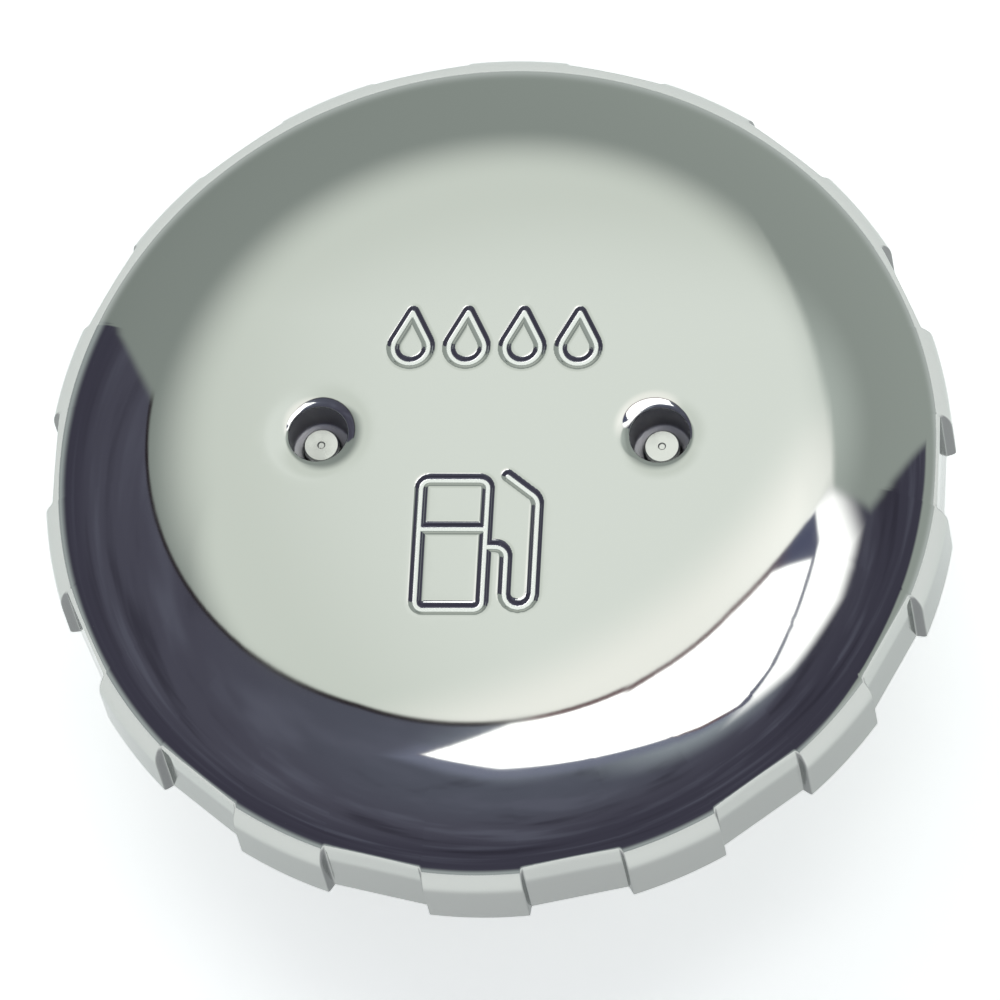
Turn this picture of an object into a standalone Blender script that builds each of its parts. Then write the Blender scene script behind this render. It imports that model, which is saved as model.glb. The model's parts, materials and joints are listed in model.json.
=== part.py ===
"""Deck fill cap: a domed stainless cover that drives a threaded, vented plug through a ratchet.

Lengths are in metres, +Z is up, and the origin is the middle of the plug's bottom rim. Every turned
part shares the Z axis. The cover turns about it, and the two valves slide along it.
"""

import math

import bmesh
import bpy
from mathutils import Matrix

MM = 0.001
GAP = 0.3 * MM  # between pieces that touch
COLLECTION = "deck_fill_cap"
SHARP_ANGLE = math.radians(32)
MERGE = 0.00001
TURN_STEPS = 48
SMALL_TURN_STEPS = 28

# Cover: a superellipse dome over a short upright skirt, with lands and recesses round the skirt.
COVER_RADIUS = 38.25 * MM
COVER_HEIGHT = 13.4 * MM
SKIRT_HEIGHT = 4.8 * MM
SKIRT_BORE = 36.0 * MM
CROWN_WALL = 1.6 * MM
DOME_POWER_OUT = 2.72
DOME_POWER_UP = 2.86
COVER_STEPS = 84
RIM_CHAMFER = 0.35 * MM
LANDS = 14
LAND_DEPTH = 1.05 * MM
LAND_HALF_ANGLE = math.pi / (2 * LANDS)

# Key holes: two blind sockets for a pin key, each in a boss that a cover screw holds.
KEY_SPACING = 28.6 * MM
KEY_RADIUS = 2.5 * MM
KEY_DEPTH = 3.5 * MM
KEY_DISH = 0.8 * MM
KEY_BOSS_RADIUS = 4.0 * MM
SCREW_TIP_DEPTH = 2.5 * MM  # below the crown, where a key's pins stop
M3_RADIUS = 1.5 * MM
M3_CLEAR_RADIUS = 1.8 * MM

# Plug: threaded wall, flange, hub and valve chamber.
PLUG_WALL_RADIUS = 22.2 * MM
PLUG_BORE_RADIUS = 19.5 * MM
PLUG_NECK_RADIUS = 23.4 * MM
THREAD_RADIUS = 24.0 * MM
THREAD_PITCH = 4.8 * MM
THREAD_TURNS = 2.25
THREAD_START = 3.4 * MM
FLANGE_RADIUS = 28.5 * MM
FLANGE_BOTTOM = 19.2 * MM
FLANGE_TOP = 22.2 * MM
RELIEF_TOP = 18.6 * MM
CHAMBER_RADIUS = 12.0 * MM
CHAMBER_OUTER_RADIUS = 14.0 * MM
CHAMBER_MOUTH = 6.0 * MM
HUB_RADIUS = 6.0 * MM
HUB_BORE_RADIUS = 3.5 * MM
HUB_SHOULDER_RADIUS = 8.5 * MM
HUB_SHOULDER = 26.6 * MM
HUB_TOP = 33.6 * MM
GROOVE_RADIUS = 5.3 * MM
RIBS = 6
RIB_WIDTH = 1.6 * MM
SEAL_MINOR_RADIUS = 1.5 * MM

# Ratchet between the cover and the plug.
TEETH = 24
TOOTH_ROOT_RADIUS = 24.8 * MM
TOOTH_TIP_RADIUS = 23.3 * MM
DRIVE_RADIUS = 26.5 * MM
DRIVE_PLATE = 2.0 * MM
PAWL_RING_INNER = 14.4 * MM
PAWL_RING_OUTER = 20.2 * MM
PAWL_RING_WALL = 1.6 * MM
PAWL_HEIGHT = 4.7 * MM
PAWL_ARC = math.radians(60)
PAWL_ROOT_ARC = math.radians(8)
PAWL_RAMP_ARC = math.radians(9)
PAWL_BEAM_INNER = 21.4 * MM
PAWL_BEAM_OUTER = 22.8 * MM
PAWL_TIP_RADIUS = TOOTH_ROOT_RADIUS - 0.4 * MM
PAWLS = 3
PAWL_SCREW_CIRCLE = 17.2 * MM
PAWL_BOSS_RADIUS = 2.8 * MM
M25_RADIUS = 1.15 * MM
M25_HOLE_RADIUS = 1.4 * MM

# Levels worked up from the flange.
RIM_LEVEL = FLANGE_TOP + 0.8 * MM
PAWL_LEVEL = FLANGE_TOP + GAP
THRUST_LEVEL = HUB_SHOULDER + GAP
THRUST_WALL = 0.8 * MM
DRIVE_PLATE_LEVEL = THRUST_LEVEL + THRUST_WALL + GAP
DRIVE_PLATE_TOP = DRIVE_PLATE_LEVEL + DRIVE_PLATE
BOSS_LEVEL = DRIVE_PLATE_TOP + GAP
WAVE_LEVEL = DRIVE_PLATE_TOP + GAP
WAVE_HEIGHT = 1.3 * MM
RETAINER_LEVEL = WAVE_LEVEL + WAVE_HEIGHT + GAP
RETAINER_WALL = 1.0 * MM

# Valves and tether, worked up from the cage at the bottom of the chamber.
CAGE_LEVEL = 4.6 * MM
CAGE_FLANGE = 1.1 * MM
CAGE_BODY_TOP = 9.4 * MM
SEAT_TOP = 10.2 * MM
SEAT_OPENING_RADIUS = 6.0 * MM
CAGE_BOSS_RADIUS = 2.8 * MM
CAGE_BOSS_TOP = 7.6 * MM
CAGE_SPOKES = 3
PRESSURE_SEAL_WALL = 1.0 * MM
PLATE_RADIUS = 10.0 * MM
PLATE_WALL = 1.2 * MM
PLATE_HUB_HEIGHT = 0.6 * MM
PLATE_GUIDES = 3
PLATE_VENTS = 4
STEM_RADIUS = 1.0 * MM
VACUUM_DISC_RADIUS = 4.4 * MM
VACUUM_DISC_WALL = 0.9 * MM
VACUUM_SEAL_WALL = 0.7 * MM
STEM_TOP = 18.0 * MM
CLIP_LEVEL = 17.0 * MM
CLIP_WALL = 0.6 * MM
PRESSURE_SEAL_LEVEL = SEAT_TOP + GAP
PLATE_LEVEL = PRESSURE_SEAL_LEVEL + PRESSURE_SEAL_WALL + GAP
PLATE_TOP = PLATE_LEVEL + PLATE_WALL
PRESSURE_SPRING_RADIUS = 8.3 * MM
PRESSURE_WIRE_RADIUS = 0.45 * MM
PRESSURE_SPRING_TURNS = 2.75
VACUUM_SPRING_RADIUS = 2.0 * MM
VACUUM_WIRE_RADIUS = 0.2 * MM
VACUUM_SPRING_TURNS = 2.5
TETHER_REACH = 8.6 * MM
TETHER_WALL = 0.7 * MM
TETHER_RING_RADIUS = 3.6 * MM
TETHER_EYE_RADIUS = 3.2 * MM

STEEL = ("stainless", (0.80, 0.81, 0.79), 0.07, 1.0)
FASTENER = ("fastener_steel", (0.62, 0.62, 0.60), 0.25, 1.0)
SPRING = ("spring_steel", (0.45, 0.45, 0.44), 0.3, 1.0)
PLUG_PLASTIC = ("plug_nylon", (0.025, 0.026, 0.028), 0.45, 0.0)
ACETAL = ("ratchet_acetal", (0.82, 0.81, 0.76), 0.4, 0.0)
VALVE_PLASTIC = ("valve_acetal", (0.10, 0.10, 0.11), 0.4, 0.0)
RUBBER = ("seal_rubber", (0.02, 0.02, 0.02), 0.7, 0.0)


def clear_scene():
    for old in list(bpy.data.objects):
        bpy.data.objects.remove(old, do_unlink=True)


def new_collection(name, hidden=False):
    collection = bpy.data.collections.new(name)
    collection.hide_render = hidden
    bpy.context.scene.collection.children.link(collection)
    return collection


def material(finish):
    """The Principled material of a finish, made once and shared by its parts."""
    name, colour, roughness, metallic = finish
    made = bpy.data.materials.get(name)
    if made:
        return made
    made = bpy.data.materials.new(name)
    made.use_nodes = True
    shader = made.node_tree.nodes["Principled BSDF"]
    shader.inputs["Base Color"].default_value = (*colour, 1)
    shader.inputs["Roughness"].default_value = roughness
    shader.inputs["Metallic"].default_value = metallic
    made.diffuse_color = (*colour, 1)
    return made


def place(name, data, finish=None, parent=None):
    """A new object in the cap's collection, or among the cutters when it has no finish."""
    made = bpy.data.objects.new(name, data)
    if finish:
        PARTS.objects.link(made)
        made.data.materials.append(material(finish))
        made.parent = parent
    else:
        CUTTERS.objects.link(made)
        made.hide_render = True
        made.display_type = "WIRE"
    return made


def axis_empty(name, parent=None):
    """The empty on a joint's axis that carries a moving body's parts."""
    empty = bpy.data.objects.new(name, None)
    empty.empty_display_size = 10 * MM
    empty.parent = parent
    PARTS.objects.link(empty)
    return empty


def turned(name, profile, finish=None, parent=None, steps=TURN_STEPS):
    """A profile of (radius, height) points turned round Z. It runs down its outer side.

    A profile that starts and ends on the axis stays open, and any other closes on itself.
    """
    edges = [(i, i + 1) for i in range(len(profile) - 1)]
    if profile[0][0] > 0:
        edges.append((len(profile) - 1, 0))
    mesh = bpy.data.meshes.new(name)
    mesh.from_pydata([(radius, 0, height) for radius, height in profile], edges, [])
    made = place(name, mesh, finish, parent)
    screw = made.modifiers.new("Turn", "SCREW")
    screw.steps = steps
    screw.render_steps = steps
    screw.use_merge_vertices = True
    screw.merge_threshold = MERGE
    return made


def washer(name, inner, outer, level, wall, finish, parent=None, steps=SMALL_TURN_STEPS):
    profile = [(outer, level + wall), (outer, level), (inner, level), (inner, level + wall)]
    return turned(name, profile, finish, parent, steps)


def rod(name, radius, bottom, top, finish=None, parent=None, steps=24):
    """A plain round bar from one level to another."""
    profile = [(0, top), (radius, top), (radius, bottom), (0, bottom)]
    return turned(name, profile, finish, parent, steps)


def block(name, size, centre, angle=0.0):
    """A box of the given size, its middle at (radius, level), turned round Z by angle."""
    radius, level = centre
    mesh = bpy.data.meshes.new(name)
    shape = bmesh.new()
    bmesh.ops.create_cube(shape, size=1)
    bmesh.ops.scale(shape, vec=size, verts=shape.verts)
    bmesh.ops.translate(shape, vec=(radius, 0, level), verts=shape.verts)
    bmesh.ops.rotate(shape, matrix=Matrix.Rotation(angle, 3, "Z"), verts=shape.verts)
    shape.to_mesh(mesh)
    shape.free()
    return place(name, mesh)


def settle(made):
    """Puts an object's modifiers or curve into a plain mesh, with its loose caps welded."""
    bpy.context.view_layer.update()
    evaluated = made.evaluated_get(bpy.context.evaluated_depsgraph_get())
    mesh = bpy.data.meshes.new_from_object(evaluated)
    shape = bmesh.new()
    shape.from_mesh(mesh)
    bmesh.ops.remove_doubles(shape, verts=shape.verts, dist=MERGE)
    shape.to_mesh(mesh)
    shape.free()
    if made.type == "MESH":
        made.modifiers.clear()
        made.data = mesh
        return made
    solid = bpy.data.objects.new(made.name, mesh)
    solid.matrix_world = made.matrix_world
    for collection in made.users_collection:
        collection.objects.link(solid)
    solid.parent = made.parent
    solid.hide_render = made.hide_render
    solid.display_type = made.display_type
    name = made.name
    bpy.data.objects.remove(made, do_unlink=True)
    solid.name = name
    return solid


def combine(made, operation, *others):
    """A Boolean of made with each of the others, in turn."""
    for other in others:
        boolean = made.modifiers.new(operation.title(), "BOOLEAN")
        boolean.operation = operation
        boolean.object = other
        boolean.solver = "EXACT"
    return made


def around(count, start=0.0):
    """Angles of count things spread evenly round a circle."""
    return [start + 2 * math.pi * i / count for i in range(count)]


def polar(radius, angle):
    return (radius * math.cos(angle), radius * math.sin(angle))


def arc(radius, first, last, steps):
    """Points (x, y) along an arc."""
    return [polar(radius, first + (last - first) * i / steps) for i in range(steps + 1)]


def extruded(name, outlines, level, wall, finish=None, parent=None):
    """A flat outline, with any holes as further outlines, extruded upwards from level."""
    curve = bpy.data.curves.new(name, "CURVE")
    curve.dimensions = "2D"
    curve.fill_mode = "BOTH"
    curve.extrude = wall / 2
    for outline in outlines:
        spline = curve.splines.new("POLY")
        spline.points.add(len(outline) - 1)
        for point, (x, y) in zip(spline.points, outline):
            point.co = (x, y, 0, 1)
        spline.use_cyclic_u = True
    made = place(name, curve, finish, parent)
    made.location.z = level + wall / 2
    return settle(made)


def coil(name, radius, wire, bottom, top, turns, parent):
    """A compression spring between two levels, with a closed turn at each end."""
    steps = 16
    ends = 0.75
    rise = top - bottom - 2 * wire
    curve = bpy.data.curves.new(name, "CURVE")
    curve.dimensions = "3D"
    curve.bevel_depth = wire
    curve.bevel_resolution = 2
    curve.use_fill_caps = True
    spline = curve.splines.new("POLY")
    count = round(turns * steps)
    spline.points.add(count)
    for i, point in enumerate(spline.points):
        turn = i / steps
        share = min(max((turn - ends / 2) / (turns - ends), 0), 1)
        angle = 2 * math.pi * turn
        point.co = (
            radius * math.cos(angle),
            radius * math.sin(angle),
            bottom + wire + rise * (0.12 * turn / turns + 0.88 * share),
            1,
        )
    return place(name, curve, SPRING, parent)


def dome(radius, height, skirt, steps):
    """Points (radius, height) of the superellipse from the crown's middle down to the rim."""
    points = []
    for i in range(steps + 1):
        angle = math.pi / 2 * (1 - i / steps)
        out = max(math.cos(angle), 0) ** (2 / DOME_POWER_OUT)
        up = max(math.sin(angle), 0) ** (2 / DOME_POWER_UP)
        points.append((radius * out, RIM_LEVEL + skirt + (height - skirt) * up))
    points[0] = (0, points[0][1])
    return points


def crown_height(radius):
    """Height of the cover's outside at a distance from its axis."""
    share = (radius / COVER_RADIUS) ** (DOME_POWER_OUT / 2)
    up = math.sin(math.acos(share)) ** (2 / DOME_POWER_UP)
    return RIM_LEVEL + SKIRT_HEIGHT + (COVER_HEIGHT - SKIRT_HEIGHT) * up


def skirt_recesses():
    """The blocks that leave the lands standing round the skirt."""
    floor = COVER_RADIUS - LAND_DEPTH
    reach = 4 * MM
    width = 2 * COVER_RADIUS * math.sin(LAND_HALF_ANGLE)
    tall = COVER_HEIGHT
    shape = bmesh.new()
    for angle in around(LANDS):
        turn = Matrix.Rotation(angle, 4, "Z")
        shift = Matrix.Translation((floor + reach / 2, 0, RIM_LEVEL + tall / 2 - 2 * MM))
        size = Matrix.Diagonal((reach, width, tall, 1))
        bmesh.ops.create_cube(shape, size=1, matrix=turn @ shift @ size)
    mesh = bpy.data.meshes.new("skirt_recesses")
    shape.to_mesh(mesh)
    shape.free()
    return place("skirt_recesses", mesh)


def key_socket(side):
    """The stepped hole of one key socket and its screw, dished where it meets the crown."""
    top = crown_height(KEY_SPACING / 2)
    floor = top - KEY_DEPTH
    over = 2 * MM
    profile = [
        (0, top + over),
        (KEY_RADIUS + KEY_DISH + over, top + over),
        (KEY_RADIUS, top - KEY_DISH),
        (KEY_RADIUS, floor),
        (M3_CLEAR_RADIUS, floor),
        (M3_CLEAR_RADIUS, BOSS_LEVEL - over),
        (0, BOSS_LEVEL - over),
    ]
    cutter = turned(f"key_socket_{side}", profile, steps=24)
    cutter.location.x = side * KEY_SPACING / 2
    return cutter


def make_cover_shell(parent):
    outside = dome(COVER_RADIUS, COVER_HEIGHT, SKIRT_HEIGHT, 11)
    inside = dome(SKIRT_BORE, COVER_HEIGHT - CROWN_WALL, SKIRT_HEIGHT, 7)
    rim = [
        (COVER_RADIUS, RIM_LEVEL + RIM_CHAMFER),
        (COVER_RADIUS - RIM_CHAMFER, RIM_LEVEL),
        (SKIRT_BORE, RIM_LEVEL),
    ]
    profile = outside + rim + inside[::-1]
    shell = turned("cover_shell", profile, STEEL, parent, COVER_STEPS)
    for side in (-1, 1):
        boss = rod(f"key_boss_{side}", KEY_BOSS_RADIUS, BOSS_LEVEL, crown_height(0) - 3 * RIM_CHAMFER)
        boss.location.x = side * KEY_SPACING / 2
        combine(shell, "UNION", boss)
    combine(shell, "DIFFERENCE", key_socket(-1), key_socket(1), skirt_recesses())
    return settle(shell)


def make_screw(name, radius, length, head_radius, head, finish=FASTENER, parent=None):
    """A pan-head screw. Its origin is under its head, which points up."""
    tip = 0.3 * MM
    profile = [
        (0, head),
        (0.7 * head_radius, head),
        (head_radius, 0.5 * head),
        (head_radius, 0),
        (radius, 0),
        (radius, tip - length),
        (radius - tip, -length),
        (0, -length),
    ]
    return turned(name, profile, finish, parent, steps=16)


def make_cover_screws(parent):
    seat = DRIVE_PLATE_LEVEL - 0.1 * MM
    tip = crown_height(KEY_SPACING / 2) - SCREW_TIP_DEPTH
    for side, name in ((-1, "cover_screw_left"), (1, "cover_screw_right")):
        screw = make_screw(name, M3_RADIUS, tip - seat, 2.5 * MM, 1.7 * MM, parent=parent)
        screw.location = (side * KEY_SPACING / 2, 0, seat)
        screw.rotation_euler.x = math.pi


def make_drive_ring(parent):
    """A plate with a hanging ring, whose saw teeth let the pawls slip one way only."""
    bore = HUB_RADIUS + 0.35 * MM
    level = DRIVE_PLATE_LEVEL
    plate = washer("drive_ring", bore, DRIVE_RADIUS, level, DRIVE_PLATE, ACETAL, parent, TURN_STEPS)
    pitch = 2 * math.pi / TEETH
    middle = (TOOTH_ROOT_RADIUS + TOOTH_TIP_RADIUS) / 2
    teeth = []
    for start in around(TEETH):
        for radius, share in ((TOOTH_ROOT_RADIUS, 0.01), (middle, 0.5), (TOOTH_TIP_RADIUS, 0.99)):
            teeth.append(polar(radius, start + share * pitch))
    outer = arc(DRIVE_RADIUS, 0, 2 * math.pi, TURN_STEPS)[:-1]
    bottom = FLANGE_TOP + 0.4 * MM
    ring = extruded("drive_ring_wall", [outer, teeth], bottom, DRIVE_PLATE_LEVEL - bottom + 0.5 * MM)
    combine(plate, "UNION", ring)
    for side in (-1, 1):
        hole = rod(f"drive_hole_{side}", M3_CLEAR_RADIUS, DRIVE_PLATE_LEVEL - MM, DRIVE_PLATE_TOP + MM)
        hole.location.x = side * KEY_SPACING / 2
        combine(plate, "DIFFERENCE", hole)
    return settle(plate)


def pawl_finger(angle):
    """One sprung finger, from its root on the ring round to the tip that catches a tooth."""
    tip = angle + 0.8 * math.pi / 180
    root = tip + PAWL_ARC
    outline = arc(PAWL_BEAM_INNER, root - 0.04, tip, 10)
    outline.append(polar(PAWL_TIP_RADIUS, tip))
    outline += arc(PAWL_BEAM_OUTER, tip + PAWL_RAMP_ARC, root + PAWL_ROOT_ARC, 10)
    outline += arc(PAWL_RING_OUTER - 0.6 * MM, root + PAWL_ROOT_ARC, root, 1)
    return extruded(f"finger_{round(math.degrees(angle))}", [outline[::-1]], PAWL_LEVEL, PAWL_HEIGHT)


def make_pawl_ring():
    inner, outer = PAWL_RING_INNER, PAWL_RING_OUTER
    ring = washer("pawl_ring", inner, outer, PAWL_LEVEL, PAWL_RING_WALL, VALVE_PLASTIC, None, 36)
    for angle in around(PAWLS):
        combine(ring, "UNION", pawl_finger(angle))
    for i, angle in enumerate(around(PAWLS)):
        hole = rod(f"pawl_hole_{i}", M25_HOLE_RADIUS, PAWL_LEVEL - MM, PAWL_LEVEL + 3 * MM, steps=16)
        hole.location = (*polar(PAWL_SCREW_CIRCLE, angle), 0)
        combine(ring, "DIFFERENCE", hole)
    return settle(ring)


def make_pawl_screws():
    seat = PAWL_LEVEL + PAWL_RING_WALL + 0.2 * MM
    for i, angle in enumerate(around(PAWLS)):
        screw = make_screw(f"pawl_ring_screw_{i + 1}", M25_RADIUS, 7.6 * MM, 2.3 * MM, 1.4 * MM)
        screw.location = (*polar(PAWL_SCREW_CIRCLE, angle), seat)


def make_wave_spring():
    """A flat ring pressed into three waves."""
    wall = 0.4 * MM
    swing = (WAVE_HEIGHT - wall) / 2
    ring = settle(washer("wave_spring", 6.4 * MM, 9 * MM, WAVE_LEVEL, wall, SPRING))
    for vert in ring.data.vertices:
        vert.co.z += swing * (1 + math.sin(3 * math.atan2(vert.co.y, vert.co.x)))


def make_retaining_ring():
    """A C-shaped ring that snaps into the hub's groove."""
    half_mouth = math.radians(28)
    inner = arc(GROOVE_RADIUS + GAP, half_mouth, 2 * math.pi - half_mouth, 24)
    outer = arc(8.6 * MM, 2 * math.pi - half_mouth, half_mouth, 24)
    return extruded("retaining_ring", [inner + outer], RETAINER_LEVEL, RETAINER_WALL, SPRING)


def plug_profile():
    edge = 0.4 * MM
    groove_top = RETAINER_LEVEL + RETAINER_WALL + 0.15 * MM
    groove_bottom = RETAINER_LEVEL - 0.15 * MM
    return [
        (HUB_RADIUS - GAP, HUB_TOP),
        (HUB_RADIUS, HUB_TOP - GAP),
        (HUB_RADIUS, groove_top),
        (GROOVE_RADIUS, groove_top),
        (GROOVE_RADIUS, groove_bottom),
        (HUB_RADIUS, groove_bottom),
        (HUB_RADIUS, HUB_SHOULDER),
        (HUB_SHOULDER_RADIUS, HUB_SHOULDER),
        (HUB_SHOULDER_RADIUS, FLANGE_TOP),
        (FLANGE_RADIUS - edge, FLANGE_TOP),
        (FLANGE_RADIUS, FLANGE_TOP - edge),
        (FLANGE_RADIUS, FLANGE_BOTTOM + edge),
        (FLANGE_RADIUS - edge, FLANGE_BOTTOM),
        (PLUG_NECK_RADIUS, FLANGE_BOTTOM),
        (PLUG_NECK_RADIUS, FLANGE_BOTTOM - 2 * SEAL_MINOR_RADIUS),
        (PLUG_WALL_RADIUS, FLANGE_BOTTOM - 3 * SEAL_MINOR_RADIUS),
        (PLUG_WALL_RADIUS, edge),
        (PLUG_WALL_RADIUS - edge, 0),
        (PLUG_BORE_RADIUS, 0),
        (PLUG_BORE_RADIUS, RELIEF_TOP),
        (CHAMBER_OUTER_RADIUS, RELIEF_TOP),
        (CHAMBER_OUTER_RADIUS, CHAMBER_MOUTH),
        (CHAMBER_RADIUS, CHAMBER_MOUTH),
        (CHAMBER_RADIUS, FLANGE_BOTTOM),
        (HUB_BORE_RADIUS, FLANGE_BOTTOM),
        (HUB_BORE_RADIUS, HUB_TOP),
    ]


def thread():
    """The helical ridge of the plug's coarse male thread, its root sunk in the wall."""
    sunk = PLUG_WALL_RADIUS - 0.6 * MM
    half_root = 1.3 * MM
    half_crest = 0.5 * MM
    corners = [
        (THREAD_RADIUS, half_crest),
        (THREAD_RADIUS, -half_crest),
        (sunk, -half_root),
        (sunk, half_root),
    ]
    mesh = bpy.data.meshes.new("thread")
    edges = [(0, 1), (1, 2), (2, 3), (3, 0)]
    mesh.from_pydata([(radius, 0, THREAD_START + rise) for radius, rise in corners], edges, [])
    ridge = place("thread", mesh)
    screw = ridge.modifiers.new("Turn", "SCREW")
    screw.angle = 2 * math.pi * THREAD_TURNS
    screw.screw_offset = THREAD_PITCH * THREAD_TURNS
    screw.steps = round(36 * THREAD_TURNS)
    screw.render_steps = screw.steps
    settle(ridge)
    shape = bmesh.new()
    shape.from_mesh(ridge.data)
    bmesh.ops.holes_fill(shape, edges=[edge for edge in shape.edges if edge.is_boundary], sides=4)
    bmesh.ops.recalc_face_normals(shape, faces=shape.faces)
    shape.to_mesh(ridge.data)
    shape.free()
    return ridge


def make_closure_body():
    body = turned("closure_body", plug_profile(), PLUG_PLASTIC)
    combine(body, "UNION", thread())
    rib_span = PLUG_BORE_RADIUS - CHAMBER_OUTER_RADIUS + 1.2 * MM
    rib_middle = (PLUG_BORE_RADIUS + CHAMBER_OUTER_RADIUS) / 2
    rib_bottom = CHAMBER_MOUTH + 0.5 * MM
    rib_top = RELIEF_TOP + 0.5 * MM
    size = (rib_span, RIB_WIDTH, rib_top - rib_bottom)
    for i, angle in enumerate(around(RIBS, math.pi / RIBS)):
        combine(body, "UNION", block(f"rib_{i}", size, (rib_middle, (rib_top + rib_bottom) / 2), angle))
    for i, angle in enumerate(around(PAWLS)):
        where = (*polar(PAWL_SCREW_CIRCLE, angle), 0)
        boss = rod(f"pawl_boss_{i}", PAWL_BOSS_RADIUS, RELIEF_TOP - 5 * MM, RELIEF_TOP + 0.7 * MM, steps=20)
        hole = rod(f"pawl_boss_hole_{i}", M25_HOLE_RADIUS, RELIEF_TOP - 2.6 * MM, FLANGE_TOP + MM, steps=16)
        boss.location = where
        hole.location = where
        combine(body, "UNION", boss)
        combine(body, "DIFFERENCE", hole)
    return settle(body)


def make_seal_ring():
    bpy.ops.mesh.primitive_torus_add(
        major_radius=PLUG_NECK_RADIUS + GAP + SEAL_MINOR_RADIUS,
        minor_radius=SEAL_MINOR_RADIUS,
        major_segments=40,
        minor_segments=8,
        location=(0, 0, FLANGE_BOTTOM - GAP - SEAL_MINOR_RADIUS),
    )
    made = bpy.context.object
    made.name = "seal_ring"
    for collection in list(made.users_collection):
        collection.objects.unlink(made)
    PARTS.objects.link(made)
    made.data.materials.append(material(RUBBER))


def make_valve_cage():
    """The chamber's bottom: a seat ring, held by spokes round the boss for the tether screw."""
    body_radius = CHAMBER_RADIUS - GAP
    profile = [
        (SEAT_OPENING_RADIUS + 0.7 * MM, SEAT_TOP),
        (SEAT_OPENING_RADIUS + 1.5 * MM, SEAT_TOP),
        (SEAT_OPENING_RADIUS + 1.5 * MM, CAGE_BODY_TOP),
        (body_radius, CAGE_BODY_TOP),
        (body_radius, CAGE_LEVEL + CAGE_FLANGE),
        (CHAMBER_OUTER_RADIUS, CAGE_LEVEL + CAGE_FLANGE),
        (CHAMBER_OUTER_RADIUS, CAGE_LEVEL),
        (SEAT_OPENING_RADIUS, CAGE_LEVEL),
        (SEAT_OPENING_RADIUS, CAGE_BODY_TOP),
        (SEAT_OPENING_RADIUS + 0.7 * MM, CAGE_BODY_TOP),
    ]
    cage = turned("valve_cage", profile, VALVE_PLASTIC, steps=36)
    hole_top = CAGE_BOSS_TOP - 0.6 * MM
    boss_profile = [
        (0, CAGE_BOSS_TOP),
        (CAGE_BOSS_RADIUS, CAGE_BOSS_TOP),
        (CAGE_BOSS_RADIUS, CAGE_LEVEL),
        (M25_HOLE_RADIUS, CAGE_LEVEL),
        (M25_HOLE_RADIUS, hole_top),
        (0, hole_top),
    ]
    boss = turned("cage_boss", boss_profile, steps=16)
    span = SEAT_OPENING_RADIUS - CAGE_BOSS_RADIUS + 1.2 * MM
    middle = (SEAT_OPENING_RADIUS + CAGE_BOSS_RADIUS) / 2
    size = (span, 1.6 * MM, 1.4 * MM)
    for i, angle in enumerate(around(CAGE_SPOKES, math.pi / 2)):
        spoke = block(f"cage_spoke_{i}", size, (middle, CAGE_LEVEL + 0.9 * MM), angle)
        combine(boss, "UNION", spoke)
    combine(cage, "UNION", settle(boss))
    return settle(cage)


def make_pressure_valve(parent):
    """The plate that lifts when pressure builds up, with guide lugs and the vacuum valve's vents."""
    hub_top = PLATE_TOP + PLATE_HUB_HEIGHT
    bore = STEM_RADIUS + GAP
    hub = bore + 1.2 * MM
    profile = [
        (bore, hub_top),
        (hub, hub_top),
        (hub, PLATE_TOP),
        (PLATE_RADIUS, PLATE_TOP),
        (PLATE_RADIUS, PLATE_LEVEL),
        (bore, PLATE_LEVEL),
    ]
    plate = turned("pressure_valve_plate", profile, VALVE_PLASTIC, parent, SMALL_TURN_STEPS)
    size = (2.5 * MM, 2 * MM, PLATE_WALL - 0.2 * MM)
    for i, angle in enumerate(around(PLATE_GUIDES)):
        lug = block(f"plate_guide_{i}", size, (PLATE_RADIUS + 0.35 * MM, PLATE_LEVEL + PLATE_WALL / 2), angle)
        combine(plate, "UNION", lug)
    vent_circle = hub + 0.7 * MM
    for i, angle in enumerate(around(PLATE_VENTS, math.pi / PLATE_VENTS)):
        vent = rod(f"plate_vent_{i}", 0.6 * MM, PLATE_LEVEL - MM, PLATE_TOP + MM, steps=12)
        vent.location = (*polar(vent_circle, angle), 0)
        combine(plate, "DIFFERENCE", vent)
    settle(plate)
    washer("pressure_valve_seal", 4.9 * MM, 9.4 * MM, PRESSURE_SEAL_LEVEL, PRESSURE_SEAL_WALL, RUBBER, parent)


def make_vacuum_valve(parent):
    """The small mushroom valve that hangs from the plate by its spring and clip."""
    seal_level = PLATE_LEVEL - GAP - VACUUM_SEAL_WALL
    disc_top = seal_level - GAP
    profile = [
        (0, STEM_TOP),
        (STEM_RADIUS - GAP, STEM_TOP),
        (STEM_RADIUS, STEM_TOP - GAP),
        (STEM_RADIUS, disc_top),
        (VACUUM_DISC_RADIUS, disc_top),
        (VACUUM_DISC_RADIUS, disc_top - VACUUM_DISC_WALL / 2),
        (VACUUM_DISC_RADIUS - 0.5 * MM, disc_top - VACUUM_DISC_WALL),
        (0, disc_top - VACUUM_DISC_WALL),
    ]
    turned("vacuum_valve", profile, VALVE_PLASTIC, parent, SMALL_TURN_STEPS)
    inner = STEM_RADIUS + GAP
    washer("vacuum_seal", inner, VACUUM_DISC_RADIUS - 0.1 * MM, seal_level, VACUUM_SEAL_WALL, RUBBER, parent)
    washer("vacuum_clip", STEM_RADIUS + 0.1 * MM, 2.9 * MM, CLIP_LEVEL, CLIP_WALL, SPRING, parent)


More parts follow.
